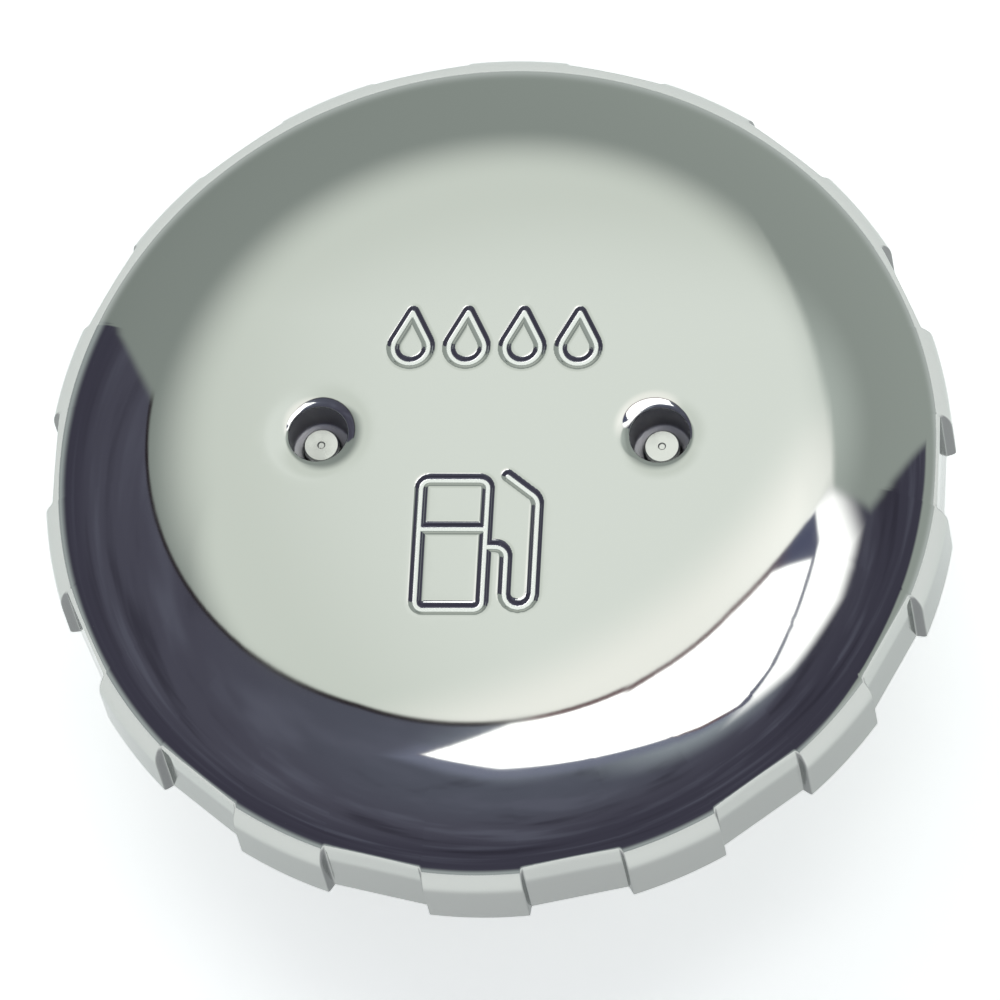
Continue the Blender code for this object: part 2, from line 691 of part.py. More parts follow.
def make_springs(plate_parent):
    coil(
        "pressure_spring",
        PRESSURE_SPRING_RADIUS,
        PRESSURE_WIRE_RADIUS,
        PLATE_TOP + GAP,
        FLANGE_BOTTOM - GAP,
        PRESSURE_SPRING_TURNS,
        None,
    )
    coil(
        "vacuum_spring",
        VACUUM_SPRING_RADIUS,
        VACUUM_WIRE_RADIUS,
        PLATE_TOP + PLATE_HUB_HEIGHT + GAP,
        CLIP_LEVEL - GAP,
        VACUUM_SPRING_TURNS,
        plate_parent,
    )


def make_tether(parent):
    """The screw, washer and swivelling tab that a lanyard is clipped to."""
    washer_wall = 0.4 * MM
    washer_level = CAGE_LEVEL - GAP - washer_wall
    swivel_level = washer_level - GAP - TETHER_WALL
    seat = swivel_level - GAP
    washer("tether_washer", M25_HOLE_RADIUS, 3.4 * MM, washer_level, washer_wall, FASTENER)
    lean = math.asin((TETHER_RING_RADIUS - TETHER_EYE_RADIUS) / TETHER_REACH)
    quarter = math.pi / 2
    outline = arc(TETHER_RING_RADIUS, quarter - lean, 3 * math.pi / 2 + lean, 16)
    end = arc(TETHER_EYE_RADIUS, -quarter + lean, quarter - lean, 14)
    outline += [(x + TETHER_REACH, y) for x, y in end]
    eye = [(x + TETHER_REACH, y) for x, y in arc(1.5 * MM, 0, 2 * math.pi, 16)[:-1]]
    pivot = arc(1.6 * MM, 0, 2 * math.pi, 16)[:-1]
    extruded("tether_swivel", [outline, eye, pivot], swivel_level, TETHER_WALL, FASTENER, parent)
    length = CAGE_BOSS_TOP - 0.9 * MM - seat
    screw = make_screw("tether_screw", M25_RADIUS, length, 2.3 * MM, 1.4 * MM)
    screw.location.z = seat
    screw.rotation_euler.x = math.pi


def smooth_parts():
    """Smooth shading on every part, with the real corners kept sharp."""
    for made in PARTS.objects:
        if made.type == "MESH" and not made.modifiers:
            made.data.shade_smooth()
            made.data.set_sharp_from_angle(angle=SHARP_ANGLE)


def build():
    cover_axis = axis_empty("cover_axis")
    pressure_axis = axis_empty("pressure_valve_axis")
    vacuum_axis = axis_empty("vacuum_valve_axis", pressure_axis)
    tether_axis = axis_empty("tether_axis")
    make_cover_shell(cover_axis)
    make_cover_screws(cover_axis)
    make_drive_ring(cover_axis)
    make_closure_body()
    make_seal_ring()
    make_pawl_ring()
    make_pawl_screws()
    thrust_inner = HUB_RADIUS + GAP
    washer("thrust_washer", thrust_inner, 9.5 * MM, THRUST_LEVEL, THRUST_WALL, ACETAL)
    make_wave_spring()
    make_retaining_ring()
    make_valve_cage()
    make_pressure_valve(pressure_axis)
    make_vacuum_valve(vacuum_axis)
    make_springs(pressure_axis)
    make_tether(tether_axis)
    for made in list(PARTS.objects):
        if made.type == "MESH" and made.modifiers:
            settle(made)
    smooth_parts()


clear_scene()
PARTS = new_collection(COLLECTION)
CUTTERS = new_collection("cutters", hidden=True)
build()
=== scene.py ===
"""Looks for the deck fill cap: fine meshes, procedural materials, a light tent, a floor and the camera.

Lengths are in millimetres until a mesh is made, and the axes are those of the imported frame.
"""

import json
import math
from functools import partialmethod

import bmesh
import bpy
import numpy as np
from mathutils import Matrix, Vector
from mathutils.geometry import delaunay_2d_cdt


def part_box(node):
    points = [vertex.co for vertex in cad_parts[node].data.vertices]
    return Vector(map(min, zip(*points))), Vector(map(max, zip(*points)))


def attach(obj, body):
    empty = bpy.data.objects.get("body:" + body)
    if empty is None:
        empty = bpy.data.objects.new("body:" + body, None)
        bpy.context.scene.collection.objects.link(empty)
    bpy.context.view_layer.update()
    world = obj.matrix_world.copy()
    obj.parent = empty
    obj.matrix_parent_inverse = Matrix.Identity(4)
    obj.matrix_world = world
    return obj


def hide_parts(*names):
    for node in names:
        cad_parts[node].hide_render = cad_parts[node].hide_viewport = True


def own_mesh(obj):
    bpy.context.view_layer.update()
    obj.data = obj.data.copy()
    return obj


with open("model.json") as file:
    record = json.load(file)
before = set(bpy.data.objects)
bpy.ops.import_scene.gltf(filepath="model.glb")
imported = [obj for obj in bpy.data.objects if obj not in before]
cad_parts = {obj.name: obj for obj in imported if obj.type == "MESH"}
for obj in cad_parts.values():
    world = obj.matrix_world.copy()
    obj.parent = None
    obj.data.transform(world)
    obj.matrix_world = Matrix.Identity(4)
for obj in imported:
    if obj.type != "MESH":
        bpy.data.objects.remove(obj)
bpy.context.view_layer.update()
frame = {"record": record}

MM = 0.001

# ---- sizes, read from the frame


def box(node):
    """Lowest and highest corners of a CAD node, in millimetres."""
    low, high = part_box(node)
    return np.array(low) / MM, np.array(high) / MM


SHELL_LOW, SHELL_HIGH = box("cover_shell")
COVER_RADIUS = SHELL_HIGH[1]
RIM_LEVEL = SHELL_LOW[2]
COVER_HEIGHT = SHELL_HIGH[2] - SHELL_LOW[2]
SKIRT_HEIGHT = 4.8
SKIRT_BORE = COVER_RADIUS - 2.25
CROWN_WALL = 1.6
DOME_OUT = 2.72
DOME_UP = 2.86
LANDS = 14
PERIOD = 2 * math.pi / LANDS  # one land and one recess
LAND_DEPTH = 1.05
RIM_FILLET = 0.35
CORE_RADIUS = 30.0  # inside it the crown is a free triangulation, and outside it rings

SCREW_LOW, SCREW_HIGH = box("cover_screw_right")
KEY_X = (SCREW_LOW[0] + SCREW_HIGH[0]) / 2
KEY_RADIUS = 2.5
KEY_FILLET = 0.1
KEY_SINK = 0.3  # the crown dips this far round a key hole
KEY_SPREAD = 2.4
KEY_DEPTH = 3.5
KEY_STEPS = 96
KEY_TURNS = np.arange(KEY_STEPS) * 2 * math.pi / KEY_STEPS
SIDES = (-1, 1)
SCREW_HOLE = 1.6
BOSS_RADIUS = 4.0
BOSS_LEVEL = box("drive_ring")[1][2] + 0.3

# ---- mesh helpers

SHARP = math.radians(40)  # a corner above this angle stays sharp
SHARP_SETTLED = math.radians(38)
FILLET_STEPS = 3


def make_mesh(name, points, faces):
    """A smooth mesh object from points in millimetres."""
    mesh = bpy.data.meshes.new(name)
    mesh.from_pydata((np.asarray(points) * MM).tolist(), [], faces)
    mesh.validate()
    mesh.shade_smooth()
    made = bpy.data.objects.new(name, mesh)
    bpy.context.scene.collection.objects.link(made)
    return made


def solid(name, points, faces):
    """A closed mesh with its faces turned outwards and its real corners kept sharp."""
    made = make_mesh(name, points, faces)
    shape = bmesh.new()
    shape.from_mesh(made.data)
    bmesh.ops.recalc_face_normals(shape, faces=shape.faces)
    shape.to_mesh(made.data)
    shape.free()
    made.data.set_sharp_from_angle(angle=SHARP)
    return made


def ring_faces(first, second, count):
    """Quads between two rings of count points, by the index of each ring's first point."""
    pairs = [(i, (i + 1) % count) for i in range(count)]
    return [(first + i, second + i, second + after, first + after) for i, after in pairs]


def end_faces(count):
    """The two ends of a bar made of two rings of count points."""
    return [tuple(range(count)), tuple(range(2 * count - 1, count - 1, -1))]


def circle(radius, angles, level, centre=(0.0, 0.0)):
    """Points round a circle, at one level or at a level each."""
    x = centre[0] + radius * np.cos(angles)
    y = centre[1] + radius * np.sin(angles)
    return np.stack([x, y, np.broadcast_to(level, x.shape)], -1)


def rounded(profile, fillet):
    """A profile with its corners rounded. One that starts on the axis keeps its ends."""
    points = [np.array(p, float) for p in profile]
    closed = profile[0][0] > 0
    made = []
    for i, corner in enumerate(points):
        if not closed and i in (0, len(points) - 1):
            made.append(tuple(corner))
            continue
        before = points[i - 1] - corner
        after = points[(i + 1) % len(points)] - corner
        reach = min(fillet, 0.45 * np.linalg.norm(before), 0.45 * np.linalg.norm(after))
        first = corner + before / np.linalg.norm(before) * reach
        last = corner + after / np.linalg.norm(after) * reach
        for t in np.linspace(0, 1, FILLET_STEPS + 1):
            made.append(tuple((1 - t) ** 2 * first + 2 * t * (1 - t) * corner + t**2 * last))
    return made


def lathe(name, profile, steps=96, centre=(0.0, 0.0)):
    """A turned piece. The profile runs down its outer side, and closes on itself or on the axis."""
    angles = np.arange(steps) * 2 * math.pi / steps
    points, rings = [], []
    for radius, level in profile:
        rings.append((len(points), radius > 0))
        flat = circle(radius, angles, level, centre).tolist()
        points += flat if radius > 0 else [(*centre, level)]
    pairs = list(zip(rings, rings[1:]))
    if profile[0][0] > 0:
        pairs.append((rings[-1], rings[0]))
    faces = []
    for (first, wide), (second, next_wide) in pairs:
        if wide and next_wide:
            faces += ring_faces(first, second, steps)
        elif wide:
            faces += [(first + i, second, first + (i + 1) % steps) for i in range(steps)]
        elif next_wide:
            faces += [(first, second + i, second + (i + 1) % steps) for i in range(steps)]
    return solid(name, points, faces)


def block(size, centre, angle, edge=0.0):
    """A bar with its middle at (radius, level), turned round Z by angle, its long edges rounded."""
    length, wide, tall = (0.5 * s for s in size)
    aside = 10  # rounded() takes a closed outline to be clear of the axis
    outline = [(aside + y, z) for y, z in ((wide, tall), (-wide, tall), (-wide, -tall), (wide, -tall))]
    outline = rounded(outline, edge) if edge else outline
    turn = Matrix.Rotation(angle, 3, "Z")
    points = []
    for x in (-length, length):
        points += [turn @ Vector((centre[0] + x, y - aside, centre[1] + z)) for y, z in outline]
    count = len(outline)
    return solid("block", points, ring_faces(0, count, count) + end_faces(count))


def pins(radius, top, bottom, centres, steps=32):
    """Plain upright pins, to cut holes with."""
    profile = [(0, top), (radius, top), (radius, bottom), (0, bottom)]
    return [lathe("pin", profile, steps, centre) for centre in centres]


def settle(made):
    """Puts an object's modifiers into its mesh."""
    bpy.context.view_layer.update()
    mesh = bpy.data.meshes.new_from_object(made.evaluated_get(bpy.context.evaluated_depsgraph_get()))
    made.modifiers.clear()
    made.data = mesh
    mesh.shade_smooth()
    mesh.set_sharp_from_angle(angle=SHARP_SETTLED)
    return made


def fuse(made, operation, tools):
    """A Boolean of made with each tool. The tools are used up."""
    for tool in tools:
        step = made.modifiers.new("fuse", "BOOLEAN")
        step.operation = operation
        step.solver = "EXACT"
        step.object = tool
    settle(made)
    for tool in tools:
        bpy.data.objects.remove(tool, do_unlink=True)
    return made


def prism(outline, low, high, edge=0.0):
    """An upright prism on an outline of (x, y), its edges eased."""
    count = len(outline)
    points = [(x, y, level) for level in (low, high) for x, y in outline]
    made = solid("prism", points, ring_faces(0, count, count) + end_faces(count))
    if edge:
        step = made.modifiers.new("ease", "BEVEL")
        step.width = edge * MM
        step.segments = 2
        step.angle_limit = math.radians(35)
        settle(made)
    return made


def places(radius, *degrees):
    """Centres at a distance from the axis, at angles in degrees."""
    return [(radius * math.cos(turn), radius * math.sin(turn)) for turn in np.radians(degrees)]


def sweep(name, path, outline, shares=None):
    """A bar along a path round the Z axis: outline is (outwards, upwards) from each path point."""
    points = []
    for i, (x, y, z) in enumerate(path):
        length = math.hypot(x, y)
        for out, up in outline:
            grow = (length + out * (shares[i] if shares is not None else 1)) / length
            points.append((x * grow, y * grow, z + up))
    count = len(outline)
    faces = []
    for i in range(len(path) - 1):
        faces += ring_faces(i * count, (i + 1) * count, count)
    last = (len(path) - 1) * count
    faces += [tuple(range(count))[::-1], tuple(range(last, last + count))]
    return solid(name, points, faces)


# ---- materials


class Number:
    """A value in a node tree, so that shader arithmetic reads as a formula."""

    def __init__(self, tree, socket):
        self.tree = tree
        self.socket = socket

    def maths(self, operation, *others):
        node = self.tree.nodes.new("ShaderNodeMath")
        node.operation = operation
        for i, value in enumerate((self, *others)):
            if isinstance(value, Number):
                self.tree.links.new(value.socket, node.inputs[i])
            else:
                node.inputs[i].default_value = value
        return Number(self.tree, node.outputs[0])

    __add__ = partialmethod(maths, "ADD")
    __sub__ = partialmethod(maths, "SUBTRACT")
    __mul__ = partialmethod(maths, "MULTIPLY")
    __truediv__ = partialmethod(maths, "DIVIDE")
    most = partialmethod(maths, "MAXIMUM")
    least = partialmethod(maths, "MINIMUM")

    def rise(self, low, high, start=0.0, end=1.0):
        """start below low, end above high, and smooth between them."""
        node = self.tree.nodes.new("ShaderNodeMapRange")
        node.interpolation_type = "SMOOTHSTEP"
        self.tree.links.new(self.socket, node.inputs["Value"])
        for key, value in (("From Min", low), ("From Max", high), ("To Min", start), ("To Max", end)):
            node.inputs[key].default_value = value
        return Number(self.tree, node.outputs[0])


def over(tree, below, above, mask):
    """One colour laid over another where the mask is 1. A colour is a socket or a tuple."""
    node = tree.nodes.new("ShaderNodeMix")
    node.data_type = "RGBA"
    tree.links.new(mask.socket, node.inputs["Factor"])
    for key, colour in (("A", below), ("B", above)):
        socket = [s for s in node.inputs if s.name == key and s.type == "RGBA"][0]
        if isinstance(colour, tuple):
            socket.default_value = (*colour, 1)
        else:
            tree.links.new(colour, socket)
    return [s for s in node.outputs if s.type == "RGBA"][0]


def layers(tree, below, *steps):
    """A colour with each (colour, mask) laid over it in turn."""
    for colour, mask in steps:
        below = over(tree, below, colour, mask)
    return below


def noise_at(tree, place, scale, detail):
    node = tree.nodes.new("ShaderNodeTexNoise")
    node.inputs["Scale"].default_value = scale
    node.inputs["Detail"].default_value = detail
    tree.links.new(place, node.inputs["Vector"])
    return Number(tree, node.outputs["Fac"])


def noise(tree, scale, detail, stretch=(1, 1, 1)):
    """Noise fixed to the object, scale being features a metre."""
    place = tree.nodes.new("ShaderNodeTexCoord")
    spread = tree.nodes.new("ShaderNodeMapping")
    spread.inputs["Scale"].default_value = stretch
    tree.links.new(place.outputs["Object"], spread.inputs["Vector"])
    return noise_at(tree, spread.outputs["Vector"], scale, detail)


def attribute(tree, name):
    """A value painted on the mesh's points, 0 on a mesh without it."""
    node = tree.nodes.new("ShaderNodeAttribute")
    node.attribute_name = name
    return Number(tree, node.outputs["Fac"])


def bump(tree, shader, height, depth, strength):
    """Gives the shader a bump of the height field, depth in metres."""
    node = tree.nodes.new("ShaderNodeBump")
    node.inputs["Strength"].default_value = strength
    node.inputs["Distance"].default_value = depth
    tree.links.new(height.socket, node.inputs["Height"])
    tree.links.new(node.outputs["Normal"], shader.inputs["Normal"])


def principled(name, metallic=0.0, colour=None):
    made = bpy.data.materials.new(name)
    made.use_nodes = True
    shader = made.node_tree.nodes["Principled BSDF"]
    shader.inputs["Metallic"].default_value = metallic
    if colour:
        shader.inputs["Base Color"].default_value = (*colour, 1)
    return made, made.node_tree, shader


def polished_stainless():
    """Mirror-polished steel: faint haze, the buffing wheel's last scratches, painted shade on seams and
    skirt.
    """
    made, tree, shader = principled("polished_stainless", 1.0)
    shader.inputs["Specular Tint"].default_value = (0.8, 0.82, 0.81, 1)
    haze = noise(tree, 90, 4)
    lines = noise(tree, 900, 3, (1, 0.06, 1))
    raw, bright, painted_shade = (attribute(tree, name) for name in ("raw", "bright", "painted_shade"))
    # The third colour is painted shade: dark and duller, laid on the seams, the rim and the skirt.
    painted = ((0.66, 0.66, 0.67), raw), ((0.7, 0.71, 0.7), bright), ((0.12, 0.12, 0.13), painted_shade)
    tree.links.new(layers(tree, (0.54, 0.55, 0.53), *painted), shader.inputs["Base Color"])
    roughness = haze.rise(0.3, 0.8, 0.03, 0.055) + raw * 0.5 + painted_shade * 0.25 + bright * 0.15
    tree.links.new(roughness.socket, shader.inputs["Roughness"])
    bump(tree, shader, lines, 0.000002, 0.25)
    return made


def patchy(name, metallic, patches, tones, spread, roughness, grain, depth, strength):
    """A plain material: two tones in patches, duller where the second lies, and a grain in its skin."""
    made, tree, shader = principled(name, metallic)
    mask = noise(tree, *patches)
    tree.links.new(over(tree, *tones, mask.rise(*spread)), shader.inputs["Base Color"])
    tree.links.new(mask.rise(0.3, 0.7, *roughness).socket, shader.inputs["Roughness"])
    bump(tree, shader, noise(tree, *grain), depth, strength)
    return made


def worn_metal(name, tone, roughness, grain=900):
    """Plain metal with drawn or turned grain, duller in patches."""
    tones = (tone, tuple(0.78 * c for c in tone))
    grain = (grain, 2, (1, 1, 4))
    return patchy(name, 1.0, (260, 5), tones, (0.45, 0.75), roughness, grain, 0.000006, 0.5)


def moulded_plastic(name, tone, light, roughness):
    """Moulded plastic: fine spark texture, with cloudy tone where the fibres lie near the skin."""
    return patchy(name, 0.0, (120, 5), (tone, light), (0.35, 0.75), roughness, (1500, 2), 0.00002, 0.35)


def rubber(name, tone, bloom, roughness):
    """Moulded rubber, faintly bloomed with grey."""
    return patchy(name, 0.0, (400, 6), (tone, bloom), (0.4, 0.8), roughness, (2500, 2), 0.00001, 0.4)


MATERIALS = {  # by slot; the frame may hold the plain name already
    made.name.split(".")[0]: made
    for made in (
        polished_stainless(),
        worn_metal("fastener_steel", (0.62, 0.62, 0.60), (0.16, 0.3)),
        worn_metal("spring_steel", (0.46, 0.45, 0.43), (0.22, 0.38), 1400),
        moulded_plastic("plug_nylon", (0.016, 0.017, 0.018), (0.03, 0.031, 0.033), (0.36, 0.5)),
        moulded_plastic("ratchet_acetal", (0.80, 0.79, 0.74), (0.74, 0.73, 0.68), (0.3, 0.42)),
        moulded_plastic("valve_acetal", (0.085, 0.087, 0.092), (0.12, 0.12, 0.13), (0.32, 0.45)),
        rubber("seal_rubber", (0.012, 0.012, 0.013), (0.035, 0.035, 0.036), (0.5, 0.72)),
    )
}


def stand_for(made, slot, body, *nodes):
    """A fine piece takes its finish, its body and the CAD nodes that it stands for."""
    made.data.materials.clear()
    made.data.materials.append(MATERIALS[slot])
    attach(made, body)
    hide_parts(*nodes)
    return made


# ---- marks on the crown


def segment_distance(x, y, start, end):
    """Distance from a straight line between two places."""
    (ax, ay), (bx, by) = start, end
    span = np.array([bx - ax, by - ay])
    along = ((x - ax) * span[0] + (y - ay) * span[1]) / max(span @ span, 1e-9)
    along = np.clip(along, 0, 1)
    return np.hypot(x - ax - along * span[0], y - ay - along * span[1])


def path_distance(x, y, points):
    """Distance from a line through the points."""
    return np.min([segment_distance(x, y, a, b) for a, b in zip(points, points[1:])], axis=0)


def box_distance(x, y, left, bottom, right, top, corner):
    """Distance from the outline of a box with rounded corners."""
    left, bottom, right, top = left + corner, bottom + corner, right - corner, top - corner
    path = []
    for i, (cx, cy) in enumerate(((right, top), (left, top), (left, bottom), (right, bottom))):
        path += bend(cx, cy, corner, 90 * i, 90 * i + 90, 5)
    return path_distance(x, y, path + path[:1])


def bend(x, y, radius, first, last, steps=8):
    """Points along an arc, its angles in degrees."""
    angles = np.radians(np.linspace(first, last, steps + 1))
    return [(x + radius * math.cos(a), y + radius * math.sin(a)) for a in angles]


DROPS = 4
DROP_PITCH = 4.7
DROP_MIDDLE = (0.1, 8.8)
DROP_RADIUS = 1.5
DROP_RISE = 3.3
MARK_HALF_WIDTH = 0.55
MARK_DEPTH = 0.17
MARK_RAMP = 0.42
MARK_SHOULDER = 0.08  # the polish rolls the metal over into a mark
MARK_SPREAD = 0.32


def drop_distance(x, y):
    """Distance from the line of the nearest drop: a round belly drawn up to a point."""
    x0, y0 = DROP_MIDDLE
    lean = math.degrees(math.acos(DROP_RADIUS / DROP_RISE))
    distances = []
    for i in range(DROPS):
        cx = x0 + (i - (DROPS - 1) / 2) * DROP_PITCH
        cy = y0 - (DROP_RISE - DROP_RADIUS) / 2
        tip = [(cx, cy + DROP_RISE)]
        belly = bend(cx, cy, DROP_RADIUS, 90 + lean, 450 - lean, 20)
        distances.append(path_distance(x, y, tip + belly + tip))
    return np.min(distances, axis=0)


PUMP_LEFT, PUMP_BOTTOM = -5.3, -16.0
PUMP_WIDE, PUMP_TALL = 5.6, 11.6


def pump_distance(x, y):
    """Distance from the line of a plain fuel-pump symbol: a cabinet with a window, and its hose."""
    left, bottom = PUMP_LEFT, PUMP_BOTTOM
    right, top = left + PUMP_WIDE, bottom + PUMP_TALL
    cabinet = box_distance(x, y, left, bottom, right, top, 0.7)
    sill = segment_distance(x, y, (left, top - 4.4), (right, top - 4.4))
    hose = [(right, bottom + 5.6)]
    hose += bend(right + 0.9, bottom + 4.7, 0.9, 90, 0)
    hose += bend(right + 3.0, bottom + 1.4, 1.2, 180, 360)
    hose += bend(right + 3.0, top - 2.2, 1.2, 0, 60)
    hose += [(right + 1.6, top + 0.4)]
    nearest = np.minimum(cabinet, sill)
    return np.minimum(nearest, path_distance(x, y, hose))


def smooth(value):
    value = np.clip(value, 0, 1)
    return value * value * (3 - 2 * value)


def mark_distance(x, y):
    """How far inside the groove of the nearest mark a point is; negative outside it."""
    return MARK_HALF_WIDTH - np.minimum(drop_distance(x, y), pump_distance(x, y))


def groove(x, y):
    """Depth of the marks below the crown."""
    inside = mark_distance(x, y)
    shoulder = MARK_SHOULDER * smooth((inside + MARK_SPREAD) / (MARK_SPREAD + MARK_RAMP))
    return MARK_DEPTH * smooth(inside / MARK_RAMP) + shoulder


# ---- cover

WITHIN_EDGES = 1  # delaunay_2d_cdt's output without what lies outside the rim


def dome_level(radius, widest=COVER_RADIUS, height=COVER_HEIGHT):
    """Height of the crown at a distance from its axis: a superellipse that stands on the skirt."""
    share = np.clip(radius / widest, 0, 1) ** (DOME_OUT / 2)
    up = np.sqrt(np.clip(1 - share**2, 0, 1)) ** (2 / DOME_UP)
    return RIM_LEVEL + SKIRT_HEIGHT + (height - SKIRT_HEIGHT) * up


def under_level(x, y):
    """Height of the crown's underside."""
    return dome_level(np.hypot(x, y), SKIRT_BORE, COVER_HEIGHT - CROWN_WALL)


def key_dish(x, y):
    """How far the dip and rolled edge of the nearer key hole fall below the crown."""
    away = np.hypot(np.abs(x) - KEY_X, y)
    inward = np.clip(KEY_RADIUS + KEY_FILLET - away, 0, KEY_FILLET * 0.9999)
    rolled = KEY_FILLET - np.sqrt(KEY_FILLET**2 - inward**2)
    return rolled + KEY_SINK * (1 - np.clip((away - KEY_RADIUS) / KEY_SPREAD, 0, 1)) ** 2


def crown_level(x, y):
    """Height of the crown's outside, marks and key holes and all."""
    return dome_level(np.hypot(x, y)) - groove(x, y) - key_dish(x, y)


def crown_normals(x, y):
    """Exact normals of the crown, so that its reflections don't depend on its triangles."""
    step = 0.004
    slope_x = (crown_level(x + step, y) - crown_level(x - step, y)) / (2 * step)
    slope_y = (crown_level(x, y + step) - crown_level(x, y - step)) / (2 * step)
    normals = np.stack([-slope_x, -slope_y, np.ones_like(x)], -1)
    return normals / np.linalg.norm(normals, axis=-1, keepdims=True)


def off_recess(angles):
    """Angle from the middle of the nearest recess. One recess is centred on +X."""
    return (angles + PERIOD / 2) % PERIOD - PERIOD / 2


def seam_angles():
    """Angles round the cover, close together where a land meets a recess."""
    near = np.radians([-0.32, -0.2, -0.12, -0.05, 0.05, 0.12, 0.2, 0.32])
    plain = np.linspace(near[-1], PERIOD / 2 + near[0], 12)[1:-1]
    one = np.concatenate([near, plain])
    return np.concatenate([PERIOD * (0.25 + 0.5 * i) + one for i in range(2 * LANDS)])


def skirt_radius(radius, angles):
    """The outside radius after the flat-floored recesses are taken out of it."""
    offset = off_recess(angles)
    edge = np.radians(0.2)
    share = smooth((PERIOD / 4 - np.abs(offset) + edge) / (2 * edge))
    floor = (COVER_RADIUS - LAND_DEPTH) / np.cos(np.clip(offset, -PERIOD / 4, PERIOD / 4))
    over_floor = radius - floor
    blend = 0.14  # rounds the line where a floor runs out into the dome
    return radius - share * (over_floor + np.sqrt(over_floor**2 + blend**2)) / 2


def dome_rings(widest, height, last, steps):
    """(radius, level) down the crown from radius last to its widest."""
    turns = np.linspace(math.acos((last / widest) ** (DOME_OUT / 2)), 0, steps + 1)
    radii = widest * np.cos(turns) ** (2 / DOME_OUT)
    return list(zip(radii, dome_level(radii, widest, height)))


def outside_rings(angles):
    """The cover's outside from the core down to the rim, as rings of points."""
    steps = [(*step, 0) for step in dome_rings(COVER_RADIUS, COVER_HEIGHT, CORE_RADIUS, 70)]
    levels = np.linspace(RIM_LEVEL + SKIRT_HEIGHT, RIM_LEVEL + RIM_FILLET, 9)[1:]
    steps += [(COVER_RADIUS, level, 0) for level in levels]
    for turn in np.linspace(0, math.pi / 2, 7)[1:]:
        down, inset = RIM_FILLET * math.sin(turn), RIM_FILLET * (1 - math.cos(turn))
        steps.append((COVER_RADIUS, RIM_LEVEL + RIM_FILLET - down, inset))
    return [circle(skirt_radius(r, angles) - inset, angles, level) for r, level, inset in steps]


def inside_rings(angles):
    """The cover's inside from the rim up to the core."""
    fillet = 0.25
    steps = [(1, 0), (0.3, 0.3), (0, 1)]
    steps = [(SKIRT_BORE + out * fillet, RIM_LEVEL + up * fillet) for out, up in steps]
    steps += reversed(dome_rings(SKIRT_BORE, COVER_HEIGHT - CROWN_WALL, CORE_RADIUS - 2, 24))
    return [circle(radius, angles, level) for radius, level in steps]


def triangulate(rim, holes, inner):
    """Triangles over a flat region: its rim and holes are rings of (x, y), filled with inner points."""
    points, edges, owner = [], [], []
    for i, ring in enumerate([rim, *holes]):
        start = len(points)
        points += [tuple(p) for p in ring]
        edges += [(start + j, start + (j + 1) % len(ring)) for j in range(len(ring))]
        owner += [i] * len(ring)
    points += [tuple(p) for p in inner]
    owner = np.array(owner + [0] * len(inner))
    made = delaunay_2d_cdt([Vector(p) for p in points], edges, [], WITHIN_EDGES, 1e-7)
    if len(made[0]) != len(points):
        raise ValueError("two points of a sheet coincide")
    faces = np.array([o[0] for o in made[3]])[np.array(made[2])]
    of = owner[faces]  # a triangle with all its corners on one hole lies in that hole
    faces = faces[(of[:, 0] == 0) | (of[:, 0] != of[:, 1]) | (of[:, 1] != of[:, 2])]
    corners = np.array(points)[faces]
    first, second = corners[:, 1] - corners[:, 0], corners[:, 2] - corners[:, 0]
    if (first[:, 0] * second[:, 1] - first[:, 1] * second[:, 0]).sum() < 0:
        faces = faces[:, ::-1]
    return np.array(points), faces


def disc_points(reach, spacing):
    """Evenly spread points on rings inside a circle."""
    points = [np.zeros((1, 2))]
    for radius in np.arange(spacing, reach - 0.4 * spacing, spacing):
        count = max(6, round(2 * math.pi * radius / spacing))
        angles = np.arange(count) * 2 * math.pi / count
        points.append(circle(radius, angles, 0)[:, :2])
    return np.concatenate(points)


def away_from_keys(points, reach):
    """The points that are further than reach from both key holes."""
    return points[np.hypot(np.abs(points[:, 0]) - KEY_X, points[:, 1]) > reach]


def crown_points(hole_rings):
    """The crown's inner points: sparse on the open face, and close together along the marks."""
    fine, band, coarse = 0.085, 0.34, 0.62
    open_face = away_from_keys(disc_points(CORE_RADIUS, coarse), 5.0)
    open_face = open_face[mark_distance(*open_face.T) <= -band - 0.3 * coarse]
    x, y = (a.ravel() for a in np.meshgrid(np.arange(-11, 11, fine), np.arange(-18, 13, fine)))
    marked = np.stack([x, y], -1)[mark_distance(x, y) > -band]
    return np.concatenate([open_face, marked] + hole_rings)


def key_rings(side):
    """Rings of points round a key hole, from its rolled edge outwards. The first is the hole's rim."""
    turns = np.radians([75, 67, 58, 49, 40, 31, 22, 13, 5])
    reaches = [KEY_RADIUS + KEY_FILLET * (1 - math.sin(t)) for t in turns]
    reaches += [2.95, 3.15, 3.4, 3.65, 3.95, 4.3, 4.7]
    return [circle(reach, KEY_TURNS, 0, (side * KEY_X, 0))[:, :2] for reach in reaches]


def key_bore(side, top_ring, under_ring, points, faces):
    """The socket's wall and floor, the screw's hole, and the boss up to the crown's underside."""
    face = float(dome_level(np.array(KEY_X)))
    floor = face - KEY_DEPTH
    small = 0.18
    profile = [
        (KEY_RADIUS, face - KEY_SINK - KEY_FILLET - 0.12), (KEY_RADIUS, face - 0.5 * KEY_DEPTH),
        (KEY_RADIUS, floor + small), (KEY_RADIUS - 0.3 * small, floor + 0.3 * small),
        (KEY_RADIUS - small, floor), (SCREW_HOLE + 0.15, floor), (SCREW_HOLE, floor - small),
        (SCREW_HOLE, BOSS_LEVEL + small), (SCREW_HOLE + small, BOSS_LEVEL),
        (BOSS_RADIUS - small, BOSS_LEVEL), (BOSS_RADIUS, BOSS_LEVEL + small),
    ]
    for radius, level in profile:
        start = len(points)
        points.extend(circle(radius, KEY_TURNS, level, (side * KEY_X, 0)).tolist())
        faces.extend(ring_faces(start, top_ring, KEY_STEPS))
        top_ring = start
    faces.extend(ring_faces(under_ring, top_ring, KEY_STEPS))
